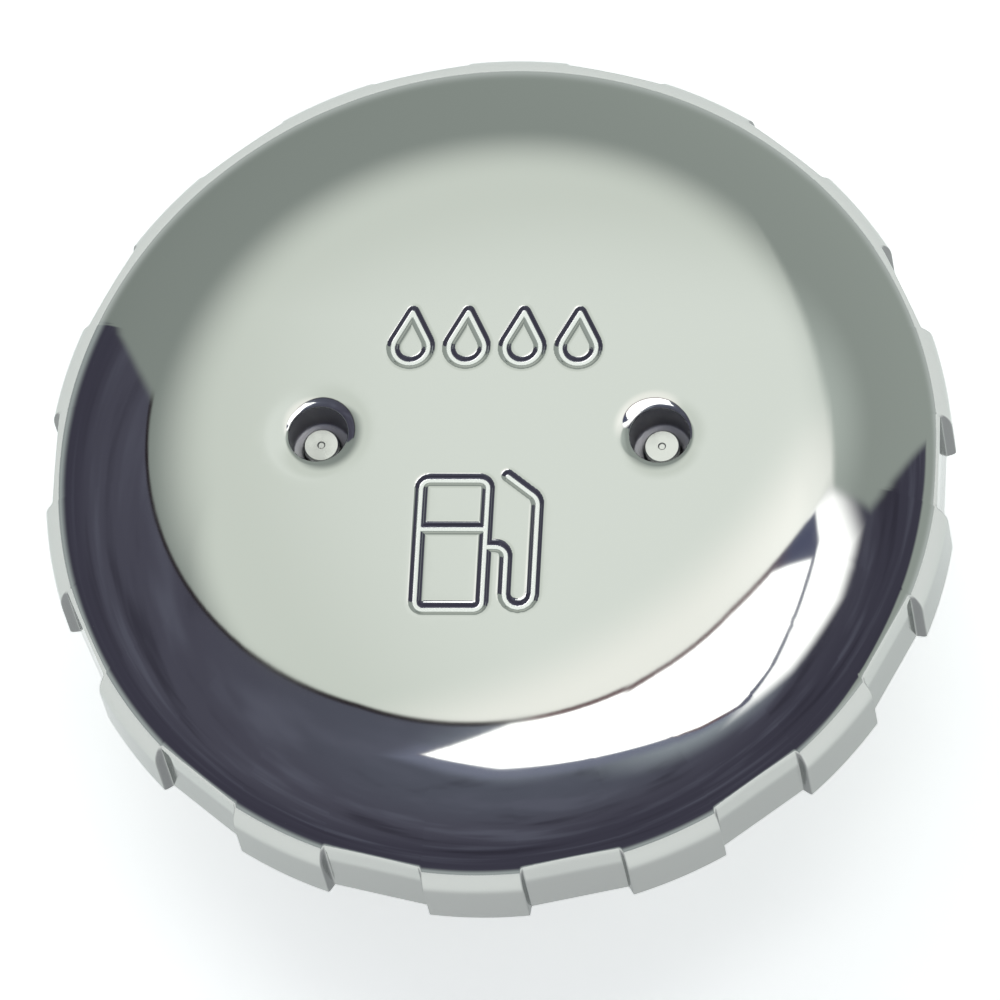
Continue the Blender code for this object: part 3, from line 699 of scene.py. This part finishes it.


# Painted shade on the cover: how dark the seams, the rim and the skirt are painted, and over what span.
SEAM_SHADE, SEAM_HALF, SEAM_FADE = 0.75, 0.12, 0.17  # the last two in degrees
RIM_SHADE, RIM_SHADE_HEIGHT = 0.75, 0.3
SKIRT_SHADE, SKIRT_SHADE_START, SKIRT_SHADE_FADE = 0.38, 1.4, 1.2


def painted_shade_map(rings, angles):
    """Painted shade: darker, duller steel in the seams between lands and recesses, round the rim
    and down the skirt, where shade falls or the skirt reflects the shaded floor."""
    from_seam = np.degrees(np.abs(np.abs(off_recess(angles)) - PERIOD / 4))
    seam = 1 - smooth((from_seam - SEAM_HALF) / SEAM_FADE)
    x, y, level = np.moveaxis(np.array(rings), -1, 0)
    radius = np.hypot(x, y)
    step = np.abs(np.roll(radius, 4, 1) - np.roll(radius, -4, 1))
    rim = RIM_SHADE * smooth((RIM_LEVEL + RIM_SHADE_HEIGHT - level) / 0.12)
    above = RIM_LEVEL + SKIRT_HEIGHT + SKIRT_SHADE_START - level
    skirt = SKIRT_SHADE * smooth(above / SKIRT_SHADE_FADE)
    return np.maximum(SEAM_SHADE * seam * smooth(step / 0.35), np.maximum(rim, skirt))


def outside_normals(rings, angles):
    """Normals of the outside rings from the points on either side of each."""
    grid = np.array(rings)
    around = np.roll(grid, -1, 1) - np.roll(grid, 1, 1)
    found = np.cross(np.gradient(grid, axis=0), around)
    found /= np.linalg.norm(found, axis=-1, keepdims=True)
    outward = np.stack([np.cos(angles), np.sin(angles), np.full(len(angles), 0.3)], -1)
    return np.where((found * outward).sum(-1, keepdims=True) < 0, -found, found)


def add_sheet(points, faces, rim, first, holes, inner, level, order=1):
    """Adds a triangulated sheet inside the ring of points that starts at first.

    Gives the index of each of the sheet's points, and its x and y. An order of -1 faces it down.
    """
    flat, triangles = triangulate(rim[:, :2], holes, inner)
    index = np.arange(len(flat)) + len(points) - len(rim)
    index[: len(rim)] = np.arange(len(rim)) + first
    x, y = flat.T
    points += np.stack([x, y, level(x, y)], -1)[len(rim) :].tolist()
    faces += index[triangles[:, ::order]].tolist()
    return index, x, y


def make_cover():
    """The cover in one closed skin: dome and skirt in rings, crown and its underside as sheets."""
    angles = seam_angles()
    count = len(angles)
    points, faces = [], []
    outer = outside_rings(angles)
    rings = outer + inside_rings(angles)
    for i, ring in enumerate(rings):
        points += ring.tolist()
        faces += ring_faces((i - 1) * count, i * count, count) if i else []
    outside = len(outer) * count

    keys = [key_rings(side) for side in SIDES]
    spread = crown_points([ring for key in keys for ring in key[1:]])
    rims = [key[0] for key in keys]
    crown, x, y = add_sheet(points, faces, outer[0], 0, rims, spread, crown_level)
    bosses = [circle(BOSS_RADIUS, KEY_TURNS, 0, (side * KEY_X, 0))[:, :2] for side in SIDES]
    spread = away_from_keys(disc_points(CORE_RADIUS - 2, 1.6), 5)
    last = (len(rings) - 1) * count
    under = add_sheet(points, faces, rings[-1], last, bosses, spread, under_level, -1)[0]
    for i, side in enumerate(SIDES):
        start = count + i * KEY_STEPS
        key_bore(side, int(crown[start]), int(under[start]), points, faces)

    made = make_mesh("cover", points, faces)
    raw, painted_shade, bright = np.ones(len(points)), np.zeros(len(points)), np.zeros(len(points))
    raw[:outside] = 0
    raw[crown] = 0
    # Painted shade: the seams, the rim and the skirt get a darker, duller colour here.
    painted_shade[:outside] = painted_shade_map(outer, angles).ravel()
    bright[crown] = smooth((mark_distance(x, y) - 0.55 * MARK_RAMP) / (0.45 * MARK_RAMP))
    for name, values in (("raw", raw), ("painted_shade", painted_shade), ("bright", bright)):
        made.data.attributes.new(name, "FLOAT", "POINT").data.foreach_set("value", values)
    normals = np.array([v.normal for v in made.data.vertices])
    normals[:outside] = outside_normals(outer, angles).reshape(-1, 3)
    normals[crown] = crown_normals(x, y)
    made.data.normals_split_custom_set_from_vertices(normals.tolist())
    return made


stand_for(make_cover(), "polished_stainless", "cover", "cover_shell")

# ---- screws, seals and springs


def screw_profile(seat, tip, shank, head_radius, head):
    """A pan-head screw that points up: its head hangs below the seat. From the tip down."""
    return [
        (0, tip - 0.1), (0.24, tip - 0.1), (0.34, tip), (shank - 0.12, tip), (shank, tip - 0.12),
        (shank, seat), (head_radius - 0.1, seat), (head_radius, seat - 0.1),
        (head_radius, seat - 0.45 * head), (0.93 * head_radius, seat - 0.72 * head),
        (0.8 * head_radius, seat - 0.9 * head), (0.6 * head_radius, seat - 0.99 * head),
        (0, seat - head),
    ]


SLOTS = {entry["node"]: entry["material_slot"] for entry in frame["record"]["subparts"]}
BODIES = frame["record"]["behaviour"]["bodies"]


def fine(node, made):
    """A fine piece stands for the CAD node it is named after."""
    made.name = f"{node}_fine"
    body = [name for name, nodes in BODIES.items() if node in nodes][0]
    return stand_for(made, SLOTS[node], body, node)


for side, node in zip(SIDES, ("cover_screw_left", "cover_screw_right")):
    low, high = box(node)
    outline = screw_profile(low[2] + 1.7, high[2], 1.5, 2.5, 1.7)
    fine(node, lathe(node, outline, 48, (side * KEY_X, 0)))

# ---- plug

FLANGE_TOP = 22.2
FLANGE_BOTTOM = 19.2
RELIEF_TOP = 18.6
WALL_RADIUS = 22.2
BORE_RADIUS = 19.5
NECK_RADIUS = 23.4
CHAMBER_RADIUS = 12.0
CHAMBER_OUTER = 14.0
CHAMBER_MOUTH = 6.0
THREAD_DEPTH = 2.4  # from 0.6 inside the wall out to the crest
THREAD_START = 3.4
THREAD_PITCH = 4.8
THREAD_TURNS = 2.25
THREAD_FADE = 0.07  # turns over which the thread runs out at each end
PAWL_SCREWS = places(17.2, 0, 120, 240)


def plug_thread():
    """The coarse thread, run out into the wall at both ends."""
    turns = np.linspace(0, THREAD_TURNS, round(96 * THREAD_TURNS) + 1)
    angles = 2 * math.pi * turns
    base = WALL_RADIUS - 0.6
    path = circle(base, angles, THREAD_START + THREAD_PITCH * turns)
    ends = np.minimum(turns, THREAD_TURNS - turns) / THREAD_FADE
    shares = 0.1 + 0.9 * smooth(ends)
    aside = 10  # rounded() takes a closed outline to be clear of the axis
    crest = aside + THREAD_DEPTH
    corners = [(aside, -1.3), (crest, -0.5), (crest, 0.5), (aside, 1.3)]
    outline = [(out - aside, up) for out, up in rounded(corners, 0.22)]
    return sweep("thread", path, outline, shares)


def make_plug():
    """The plug: flange, hub, valve chamber, ribs, bosses and thread in one moulding."""
    profile = [
        (5.7, 33.6), (6.0, 33.3), (6.0, 33.05), (5.3, 33.05), (5.3, 31.75), (6.0, 31.75),
        (6.0, 26.6), (8.5, 26.6), (8.5, FLANGE_TOP), (28.5, FLANGE_TOP), (28.5, FLANGE_BOTTOM),
        (NECK_RADIUS, FLANGE_BOTTOM), (NECK_RADIUS, 16.2), (WALL_RADIUS, 14.7), (WALL_RADIUS, 0),
        (BORE_RADIUS, 0), (BORE_RADIUS, RELIEF_TOP), (CHAMBER_OUTER, RELIEF_TOP),
        (CHAMBER_OUTER, CHAMBER_MOUTH), (CHAMBER_RADIUS, CHAMBER_MOUTH),
        (CHAMBER_RADIUS, FLANGE_BOTTOM), (3.5, FLANGE_BOTTOM), (3.5, 33.6),
    ]
    plug = lathe("plug", rounded(profile, 0.4), 144)
    added = [plug_thread()]
    bottom, top = CHAMBER_MOUTH + 0.5, RELIEF_TOP + 0.5
    size = (BORE_RADIUS - CHAMBER_OUTER + 1.2, 1.6, top - bottom)
    middle = ((BORE_RADIUS + CHAMBER_OUTER) / 2, (bottom + top) / 2)
    for turn in np.radians(range(30, 360, 60)):
        added.append(block(size, middle, turn, 0.4))
    boss = [(0, 19.3), (2.8, 19.3), (2.8, 13.6), (0, 13.6)]
    added += [lathe("boss", rounded(boss, 0.4), 48, centre) for centre in PAWL_SCREWS]
    fuse(plug, "UNION", added)
    return fuse(plug, "DIFFERENCE", pins(1.4, 23.2, 16, PAWL_SCREWS))


def make_seal_ring():
    """An O-ring, with the thin flash line its mould leaves round it."""
    radius, level = 25.15, 17.4
    angles = np.arange(32) * 2 * math.pi / 32
    swell = 1.5 + 0.05 * np.exp(-((np.minimum(angles, 2 * math.pi - angles) / 0.12) ** 2))
    profile = zip(radius + swell * np.cos(angles), level - swell * np.sin(angles))
    return lathe("seal", list(profile), 192)


fine("closure_body", make_plug())
fine("seal_ring", make_seal_ring())

# ---- ratchet, under the cover

TEETH = 24
TOOTH_ROOT, TOOTH_TIP = 24.8, 23.3
DRIVE_TOP, DRIVE_PLATE, DRIVE_RIM = 30.0, 28.0, 22.6
PAWL_LEVEL = FLANGE_TOP + 0.3
PAWL_SEAT = PAWL_LEVEL + 1.8


def make_drive_ring():
    """The plate the cover turns, with saw teeth round the inside of its hanging wall."""
    profile = [(26.5, DRIVE_TOP), (26.5, DRIVE_RIM), (23.0, DRIVE_RIM), (23.0, DRIVE_PLATE)]
    profile += [(6.35, DRIVE_PLATE), (6.35, DRIVE_TOP)]
    drive = lathe("drive", rounded(profile, 0.35), 144)
    teeth = []
    for i in range(TEETH):
        for radius, share in ((TOOTH_ROOT, 0.01), (24.05, 0.5), (TOOTH_TIP, 0.99)):
            turn = 2 * math.pi * (i + share) / TEETH
            teeth.append((radius * math.cos(turn), radius * math.sin(turn)))
    cut = [prism(teeth, DRIVE_RIM - 1, DRIVE_PLATE + 0.02)]
    cut += pins(1.8, DRIVE_TOP + 1, DRIVE_PLATE - 1, [(side * KEY_X, 0) for side in SIDES])
    return fuse(drive, "DIFFERENCE", cut)


def pawl_finger(start):
    """One sprung finger, from its root on the ring round to the tip that catches a tooth."""
    tip = start + 0.8
    root = tip + 60
    outline = bend(0, 0, 21.4, root - 2.3, tip, 24)
    outline += bend(0, 0, TOOTH_ROOT - 0.4, tip, tip, 1)[:1]
    outline += bend(0, 0, 22.8, tip + 9, root + 8, 24)
    outline += bend(0, 0, 19.6, root + 8, root, 4)
    return prism(outline, PAWL_LEVEL, PAWL_LEVEL + 4.7, 0.12)


def make_pawl_ring():
    """A ring with three sprung fingers, screwed down to the plug."""
    top = PAWL_LEVEL + 1.6
    profile = [(20.2, top), (20.2, PAWL_LEVEL), (14.4, PAWL_LEVEL), (14.4, top)]
    pawls = lathe("pawls", rounded(profile, 0.2), 120)
    fuse(pawls, "UNION", [pawl_finger(start) for start in (0, 120, 240)])
    return fuse(pawls, "DIFFERENCE", pins(1.4, 26, 21, PAWL_SCREWS))


def make_pawl_screw(place):
    """A pan-head screw, head up, with a cross recess."""
    profile = screw_profile(PAWL_SEAT, PAWL_SEAT + 7.6, 1.15, 2.3, 1.4)
    screw = lathe("screw", [(radius, 2 * PAWL_SEAT - level) for radius, level in profile], 56, place)
    middle = (math.hypot(*place), PAWL_SEAT + 1.1)
    turn = math.atan2(place[1], place[0])
    recess = [block(size, middle, turn) for size in ((2.6, 0.5, 1.0), (0.5, 2.6, 1.0))]
    return fuse(screw, "DIFFERENCE", recess)


def make_wave_spring():
    """A flat ring pressed into three waves."""
    low, high = box("wave_spring")
    wall = 0.4
    profile = [(9.0, low[2] + wall), (9.0, low[2]), (6.4, low[2]), (6.4, low[2] + wall)]
    wave = lathe("wave", rounded(profile, 0.1), 144)
    swing = (high[2] - low[2] - wall) / 2 * MM
    for point in wave.data.vertices:
        point.co.z += swing * (1 + math.sin(3 * math.atan2(point.co.y, point.co.x)))
    return wave


def make_retaining_ring():
    """A snap ring with a gap, in the hub's groove."""
    low, high = box("retaining_ring")
    outline = bend(0, 0, 5.6, 28, 332, 60) + bend(0, 0, 8.6, 332, 28, 60)
    return prism(outline, low[2], high[2], 0.1)


fine("drive_ring", make_drive_ring())
fine("pawl_ring", make_pawl_ring())
for i, place in enumerate(PAWL_SCREWS):
    fine(f"pawl_ring_screw_{i + 1}", make_pawl_screw(place))
fine("wave_spring", make_wave_spring())
fine("retaining_ring", make_retaining_ring())

# ---- valves and springs


def make_cage():
    """The cage that closes the chamber: three spokes carry the vacuum valve's guide."""
    profile = [
        (6.7, 10.2), (7.5, 10.2), (7.5, 9.4), (11.7, 9.4), (11.7, 5.7),
        (14.0, 5.7), (14.0, 4.6), (6.0, 4.6), (6.0, 9.4), (6.7, 9.4),
    ]
    cage = lathe("cage", rounded(profile, 0.22), 96)
    boss = [(0, 7.6), (2.8, 7.6), (2.8, 4.6), (1.4, 4.6), (1.4, 7.0), (0, 7.0)]
    added = [lathe("boss", rounded(boss, 0.18), 48)]
    for turn in np.radians([90, 210, 330]):
        added.append(block((4.4, 1.6, 1.4), (4.4, 5.5), turn, 0.25))
    return fuse(cage, "UNION", added)


def make_pressure_plate():
    """The pressure valve's plate, with lugs that guide it and vents that the vacuum valve shuts."""
    profile = [(1.3, 13.6), (2.5, 13.6), (2.5, 13.0), (10.0, 13.0), (10.0, 11.8), (1.3, 11.8)]
    plate = lathe("plate", rounded(profile, 0.18), 72)
    lugs = [block((2.5, 2.0, 1.0), (10.35, 12.4), turn, 0.2) for turn in np.radians([0, 120, 240])]
    fuse(plate, "UNION", lugs)
    return fuse(plate, "DIFFERENCE", pins(0.6, 14, 10.8, places(3.2, 45, 135, 225, 315), 24))


def make_vacuum_valve():
    """The vacuum valve's disc and stem."""
    profile = [(0, 18), (0.7, 18), (1, 17.7), (1, 10.5), (4.4, 10.5), (4.4, 10.05), (3.9, 9.6), (0, 9.6)]
    return lathe("valve", rounded(profile, 0.15), 64)


RINGS = {  # bore radius, fillet, steps round
    "thrust_washer": (6.3, 0.15, 96),
    "pressure_valve_seal": (4.9, 0.25, 72),
    "vacuum_seal": (1.3, 0.18, 72),
    "vacuum_clip": (1.1, 0.12, 72),
    "tether_washer": (1.4, 0.1, 72),
}


def ring(node):
    """A plain washer the size of a CAD node, with rounded edges and the bore given by its record."""
    low, high = box(node)
    bore, fillet, steps = RINGS[node]
    outer = (high[0] - low[0]) / 2
    profile = [(outer, high[2]), (outer, low[2]), (bore, low[2]), (bore, high[2])]
    return lathe(node, rounded(profile, fillet), steps)


def coil(node, radius, wire, turns):
    """A round-wire spring with its end turns closed, between a CAD node's levels."""
    low, high = box(node)
    bottom, rise = low[2] + wire, high[2] - low[2] - 2 * wire
    steps = np.linspace(0, turns, round(72 * turns) + 1)
    share = np.clip((steps - 0.375) / (turns - 0.75), 0, 1)
    path = circle(radius, 2 * math.pi * steps, bottom + rise * (0.12 * steps / turns + 0.88 * share))
    section = np.arange(16) * 2 * math.pi / 16
    return sweep(node, path, [(wire * math.cos(a), wire * math.sin(a)) for a in section])


fine("thrust_washer", ring("thrust_washer"))
fine("valve_cage", make_cage())
fine("pressure_valve_plate", make_pressure_plate())
fine("vacuum_valve", make_vacuum_valve())
for node in ("pressure_valve_seal", "vacuum_seal", "vacuum_clip"):
    fine(node, ring(node))
for node, size, joint, travel in (
    ("pressure_spring", (8.3, 0.45, 2.75), "pressure_valve_lift", 2.0),
    ("vacuum_spring", (2.0, 0.2, 2.5), "vacuum_valve_drop", 1.0),
):
    made = fine(node, coil(node, *size))
    low, high = box(node)
    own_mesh(made)

# ---- lanyard's swivel


def plate(name, rim, holes, low, high, edge):
    """A flat plate with a convex rim and round holes (x, y, radius), its edges rounded over."""
    rim = np.array(rim)
    ahead = np.roll(rim, -1, 0) - np.roll(rim, 1, 0)
    normal = np.stack([ahead[:, 1], -ahead[:, 0]], -1)
    normal /= np.linalg.norm(normal, axis=1, keepdims=True)
    turns = np.arange(48) * 2 * math.pi / 48
    points, faces = [], []
    steps = [(edge, high), (0.3 * edge, high - 0.3 * edge), (0, high - edge)]
    steps += [(inset, low + high - level) for inset, level in reversed(steps)]
    for i, (inset, level) in enumerate(steps):
        loops = [rim - normal * inset]
        loops += [circle(radius + inset, turns, 0, (x, y))[:, :2] for x, y, radius in holes]
        start, total = len(points), sum(len(loop) for loop in loops)
        if i in (0, len(steps) - 1):
            faces += (triangulate(loops[0], loops[1:], [])[1] + start).tolist()
        for loop in loops:
            if i:
                faces += ring_faces(len(points) - total, len(points), len(loop))
            points += [(x, y, level) for x, y in loop]
    return solid(name, points, faces)


def make_swivel():
    """The lanyard's eye: a plate with two holes, round-ended and tapering."""
    low, high = box("tether_swivel")
    reach, ring_radius, end_radius = 8.6, 3.6, 3.2
    lean = math.degrees(math.asin((ring_radius - end_radius) / reach))
    rim = bend(0, 0, ring_radius, 90 - lean, 270 + lean, 48)
    rim += bend(reach, 0, end_radius, -90 + lean, 90 - lean, 40)
    return plate("swivel", rim, [(0, 0, 1.6), (reach, 0, 1.5)], low[2], high[2], 0.14)


def make_tether_screw():
    """A pan-head screw seen from below, with a cross recess."""
    screw = lathe("screw", screw_profile(2.6, 6.7, 1.15, 2.3, 1.4), 64)
    recess = [block((2.6, 0.5, 1.0), (0, 1.6), turn) for turn in (0.4, 0.4 + math.pi / 2)]
    return fuse(screw, "DIFFERENCE", recess)


fine("tether_swivel", make_swivel())
fine("tether_screw", make_tether_screw())
fine("tether_washer", ring("tether_washer"))

# ---- camera

CAMERA_AZIMUTH = math.radians(15.95)
CAMERA_ELEVATION = math.radians(64.0)
CAMERA_ROLL = math.radians(-14.21)
CAMERA_DISTANCE = 0.8359
CAMERA_LENS = 360.0
CAMERA_PIVOT = Vector((0, 0, (RIM_LEVEL + 8.0) * MM))
CAMERA_AIM = (0.00044, -0.0034)  # right and up from the pivot, in metres


def make_camera():
    """The camera looks down on the face, rolled so that the marks lie level across the frame."""
    e, a = CAMERA_ELEVATION, CAMERA_AZIMUTH
    back = Vector((math.sin(a) * math.cos(e), -math.cos(a) * math.cos(e), math.sin(e)))
    level = Vector((math.cos(a), math.sin(a), 0))
    rise = back.cross(level)
    right = math.cos(CAMERA_ROLL) * level + math.sin(CAMERA_ROLL) * rise
    up = -math.sin(CAMERA_ROLL) * level + math.cos(CAMERA_ROLL) * rise
    place = CAMERA_PIVOT + back * CAMERA_DISTANCE
    aim = CAMERA_PIVOT + right * CAMERA_AIM[0] + up * CAMERA_AIM[1]
    towards = (place - aim).normalized()
    across = up.cross(towards).normalized()
    data = bpy.data.cameras.new("camera")
    data.lens = CAMERA_LENS
    data.sensor_width = 36.0
    data.clip_start, data.clip_end = 0.05, 20.0
    camera = bpy.data.objects.new("camera", data)
    turn = Matrix((across, towards.cross(across), towards)).transposed()
    camera.matrix_world = Matrix.Translation(place) @ turn.to_4x4()
    bpy.context.scene.collection.objects.link(camera)
    bpy.context.scene.camera = camera


make_camera()

# ---- studio


def paint_sky(tree, u, v):
    """The light tent's colour at a place in the flat view of the sky from the cap.

    The middle is overhead, the horizon is 1 from it, and +v is away from the camera. A silver card
    hangs over the far side, the side towards the camera is a dark room, and a window breaks into it.
    """

    def disc(cu, cv, radius, soft):
        """1 within radius of a place, and soft across its edge."""
        du, dv = u - cu, v - cv
        return (du * du + dv * dv).maths("SQRT").rise(radius - soft, radius + soft, 1.0, 0.0)

    def left_of(start, end, soft):
        """1 on the left of the line from start to end, and soft across it."""
        du, dv = end[0] - start[0], end[1] - start[1]
        length = math.hypot(du, dv)
        side = (v - start[1]) * (du / length) - (u - start[0]) * (dv / length)
        return side.rise(-soft, soft)

    def inside(corners, soft):
        """1 inside a convex shape, its corners anticlockwise."""
        sides = [left_of(a, b, soft) for a, b in zip(corners, corners[1:] + corners[:1])]
        for side in sides[1:]:
            sides[0] = sides[0].least(side)
        return sides[0]

    def other(mask):
        return mask.rise(0, 1, 1, 0)

    silver = disc(0.02, 0.24, 0.181, 0.05).most(disc(0.0, 0.16, 0.17, 0.03))
    silver = silver.least(u.rise(0.174, 0.202, 1.0, 0.0))
    card_tone = layers(
        tree,
        (0.96, 1.02, 0.95),
        ((1.12, 1.18, 1.12), u.rise(-0.11, 0.01).least(v.rise(0.25, 0.35, 1.0, 0.0))),
        ((1.4, 1.4, 1.34), left_of((0.12, 0.16), (-0.03, 0.1), 0.03)),
    )
    far = layers(
        tree,
        (0.33, 0.37, 0.35),
        ((0.44, 0.49, 0.46), u.rise(-0.55, 0.65)),
        ((0.66, 0.71, 0.70), other(disc(0, 0, 0.88, 0.14))),
        ((0.66, 0.73, 0.69), disc(0.17, 0.2, 0.065, 0.06)),
        (card_tone, silver),
        ((1.75, 1.75, 1.7), disc(0.185, 0.1, 0.05, 0.08).least(silver)),
    )

    across = (u * u + v * v).maths("SQRT")
    place = tree.nodes.new("ShaderNodeCombineXYZ")
    tree.links.new(across.socket, place.inputs["X"])
    tree.links.new((u.maths("ARCTAN2", v * -1.0) * 0.12).socket, place.inputs["Y"])
    streaks = noise_at(tree, place.outputs[0], 11, 3.0)
    overhead = across.rise(0.35, 0.75, 1.0, 0.15)
    under_sill = [(-0.105, 0.03), (-0.06, -0.019), (0.1, -0.065), (0.15, -0.06), (0.15, 0.0)]
    glow = [(0.15, -0.06), (0.2, -0.045), (0.25, 0.015), (0.255, 0.08), (0.2, 0.145), (0.15, 0.145)]
    fold = disc(0.0, 0.23, 0.167, 0.002).most(disc(-0.01, 0.27, 0.196, 0.002))
    room = layers(
        tree,
        (0.5, 0.55, 0.56),
        ((0.072, 0.069, 0.103), disc(0, 0, 0.85, 0.08)),
        ((0.105, 0.103, 0.145), disc(-0.12, 0.1, 0.4, 0.12)),
        ((0.14, 0.15, 0.2), disc(-0.02, 0.0, 0.15, 0.12)),
        ((0.165, 0.17, 0.23), streaks.rise(0.5, 0.7, 0.0, 0.7) * overhead),
        ((0.035, 0.032, 0.05), streaks.rise(0.3, 0.48, 0.6, 0.0) * overhead),
        ((0.5, 0.56, 0.62), disc(0.11, -0.01, 0.08, 0.05)),
        ((0.42, 0.46, 0.56), disc(-0.02, 0.02, 0.045, 0.035)),
        ((0.27, 0.29, 0.4), inside(under_sill + [(-0.08, 0.045)], 0.012)),
        ((2.4, 2.4, 2.4), inside(glow, 0.026)),
        ((0.03, 0.022, 0.028), fold.least(u.rise(0.0, 0.04, 1.0, 0.0))),
    )

    near_side = left_of((-0.19, 0.33), (-0.45, 0.683), 0.006)
    near_side = near_side.most(left_of((0.283, 0.1), (-0.19, 0.33), 0.006))
    near_side = near_side.most(left_of((0.65, 0.148), (0.27, 0.097), 0.012))
    card = disc(0.0, 0.23, 0.161, 0.003).most(disc(-0.01, 0.27, 0.19, 0.003))
    from_sill = u.rise(0.03, 0.04)
    sill = left_of((0.05, 0.078), (0.165, 0.135), 0.003).least(from_sill)
    near_side = near_side.least(other(card.most(sill))).least(u.rise(0.63, 0.68, 1.0, 0.0))

    border = [(-0.086, 0.033), (0.1, -0.053), (0.147, -0.056), (0.166, -0.01)]
    border += [(0.181, 0.108), (0.17, 0.135), (0.03, 0.09)]
    lead = over(tree, (0.17, 0.075, 0.085), (0.12, 0.13, 0.22), u.rise(0.11, 0.15))
    pane = [(-0.084, 0.033), (-0.045, -0.004), (0.1, -0.047), (0.138, -0.047), (0.158, -0.01)]
    pane = inside(pane + [(0.174, 0.099), (0.143, 0.106), (0.1, 0.12), (-0.01, 0.073)], 0.002)
    pane = pane.least(other(disc(0.0, 0.23, 0.1665, 0.002)))
    pane = pane.least(other(left_of((0.05, 0.0712), (0.165, 0.1282), 0.002).least(from_sill)))
    border = inside(border, 0.002).least(near_side)
    return layers(tree, far, (room, near_side), (lead, border), ((3.0, 3.0, 3.0), pane))


TENT_RADIUS, TENT_STRENGTH = 4.0, 1.07
FLOOR_RADIUS, FLOOR_LEVEL, FLOOR_GLOW = 3.5, -0.0002, 0.68


def tent_material():
    """The tent glows with its painted sky, turned towards the camera."""
    made = bpy.data.materials.new("tent")
    made.use_nodes = True
    tree = made.node_tree
    tree.nodes.clear()
    shader = tree.nodes.new("ShaderNodeEmission")
    output = tree.nodes.new("ShaderNodeOutputMaterial")
    geometry = tree.nodes.new("ShaderNodeNewGeometry")
    turn = tree.nodes.new("ShaderNodeVectorRotate")
    turn.rotation_type = "Z_AXIS"
    turn.inputs["Angle"].default_value = -CAMERA_AZIMUTH
    unit = tree.nodes.new("ShaderNodeVectorMath")
    unit.operation = "NORMALIZE"
    parts = tree.nodes.new("ShaderNodeSeparateXYZ")
    tree.links.new(geometry.outputs["Position"], turn.inputs["Vector"])
    for first, second in ((turn, unit), (unit, parts)):
        tree.links.new(first.outputs[0], second.inputs[0])
    x, y, z = (Number(tree, socket) for socket in parts.outputs)
    sky = paint_sky(tree, x / (z + 1.0), y / (z + 1.0))
    tree.links.new(sky, shader.inputs["Color"])
    shader.inputs["Strength"].default_value = TENT_STRENGTH
    tree.links.new(shader.outputs[0], output.inputs["Surface"])
    return made


def make_tent():
    """A sphere round the studio that only reflections and soft light see."""
    bpy.ops.mesh.primitive_ico_sphere_add(subdivisions=5, radius=TENT_RADIUS)
    tent = bpy.context.object
    tent.name = "tent"
    tent.data.materials.append(tent_material())
    tent.visible_camera = False
    tent.visible_shadow = False


def make_floor():
    """A pale floor, lit from within a little as a light table is."""
    made, _, shader = principled("floor", colour=(0.86, 0.87, 0.865))
    shader.inputs["Roughness"].default_value = 0.7
    shader.inputs["Specular IOR Level"].default_value = 0.1
    shader.inputs["Emission Color"].default_value = (0.97, 1.0, 0.985, 1)
    shader.inputs["Emission Strength"].default_value = FLOOR_GLOW
    bpy.ops.mesh.primitive_circle_add(vertices=128, radius=FLOOR_RADIUS, fill_type="NGON")
    floor = bpy.context.object
    floor.name = "floor"
    floor.location.z = FLOOR_LEVEL
    floor.data.materials.append(made)


def area_light(name, place, size, power):
    """A soft light aimed at the cap, left out of its reflections."""
    data = bpy.data.lights.new(name, "AREA")
    data.size = size
    data.energy = power
    light = bpy.data.objects.new(name, data)
    light.location = place
    light.rotation_euler = Vector(place).to_track_quat("Z", "Y").to_euler()
    light.visible_glossy = False
    bpy.context.scene.collection.objects.link(light)


def make_world():
    """A plain white world."""
    world = bpy.data.worlds.new("studio")
    world.use_nodes = True
    background = world.node_tree.nodes["Background"]
    background.inputs["Color"].default_value = (1, 1, 1, 1)
    bpy.context.scene.world = world


make_tent()
make_floor()
area_light("key_light", (-0.9, 1.1, 1.9), 1.6, 9)
area_light("fill_light", (1.4, -1.0, 1.6), 1.6, 5)
make_world()
bpy.context.scene.view_settings.view_transform = "Standard"
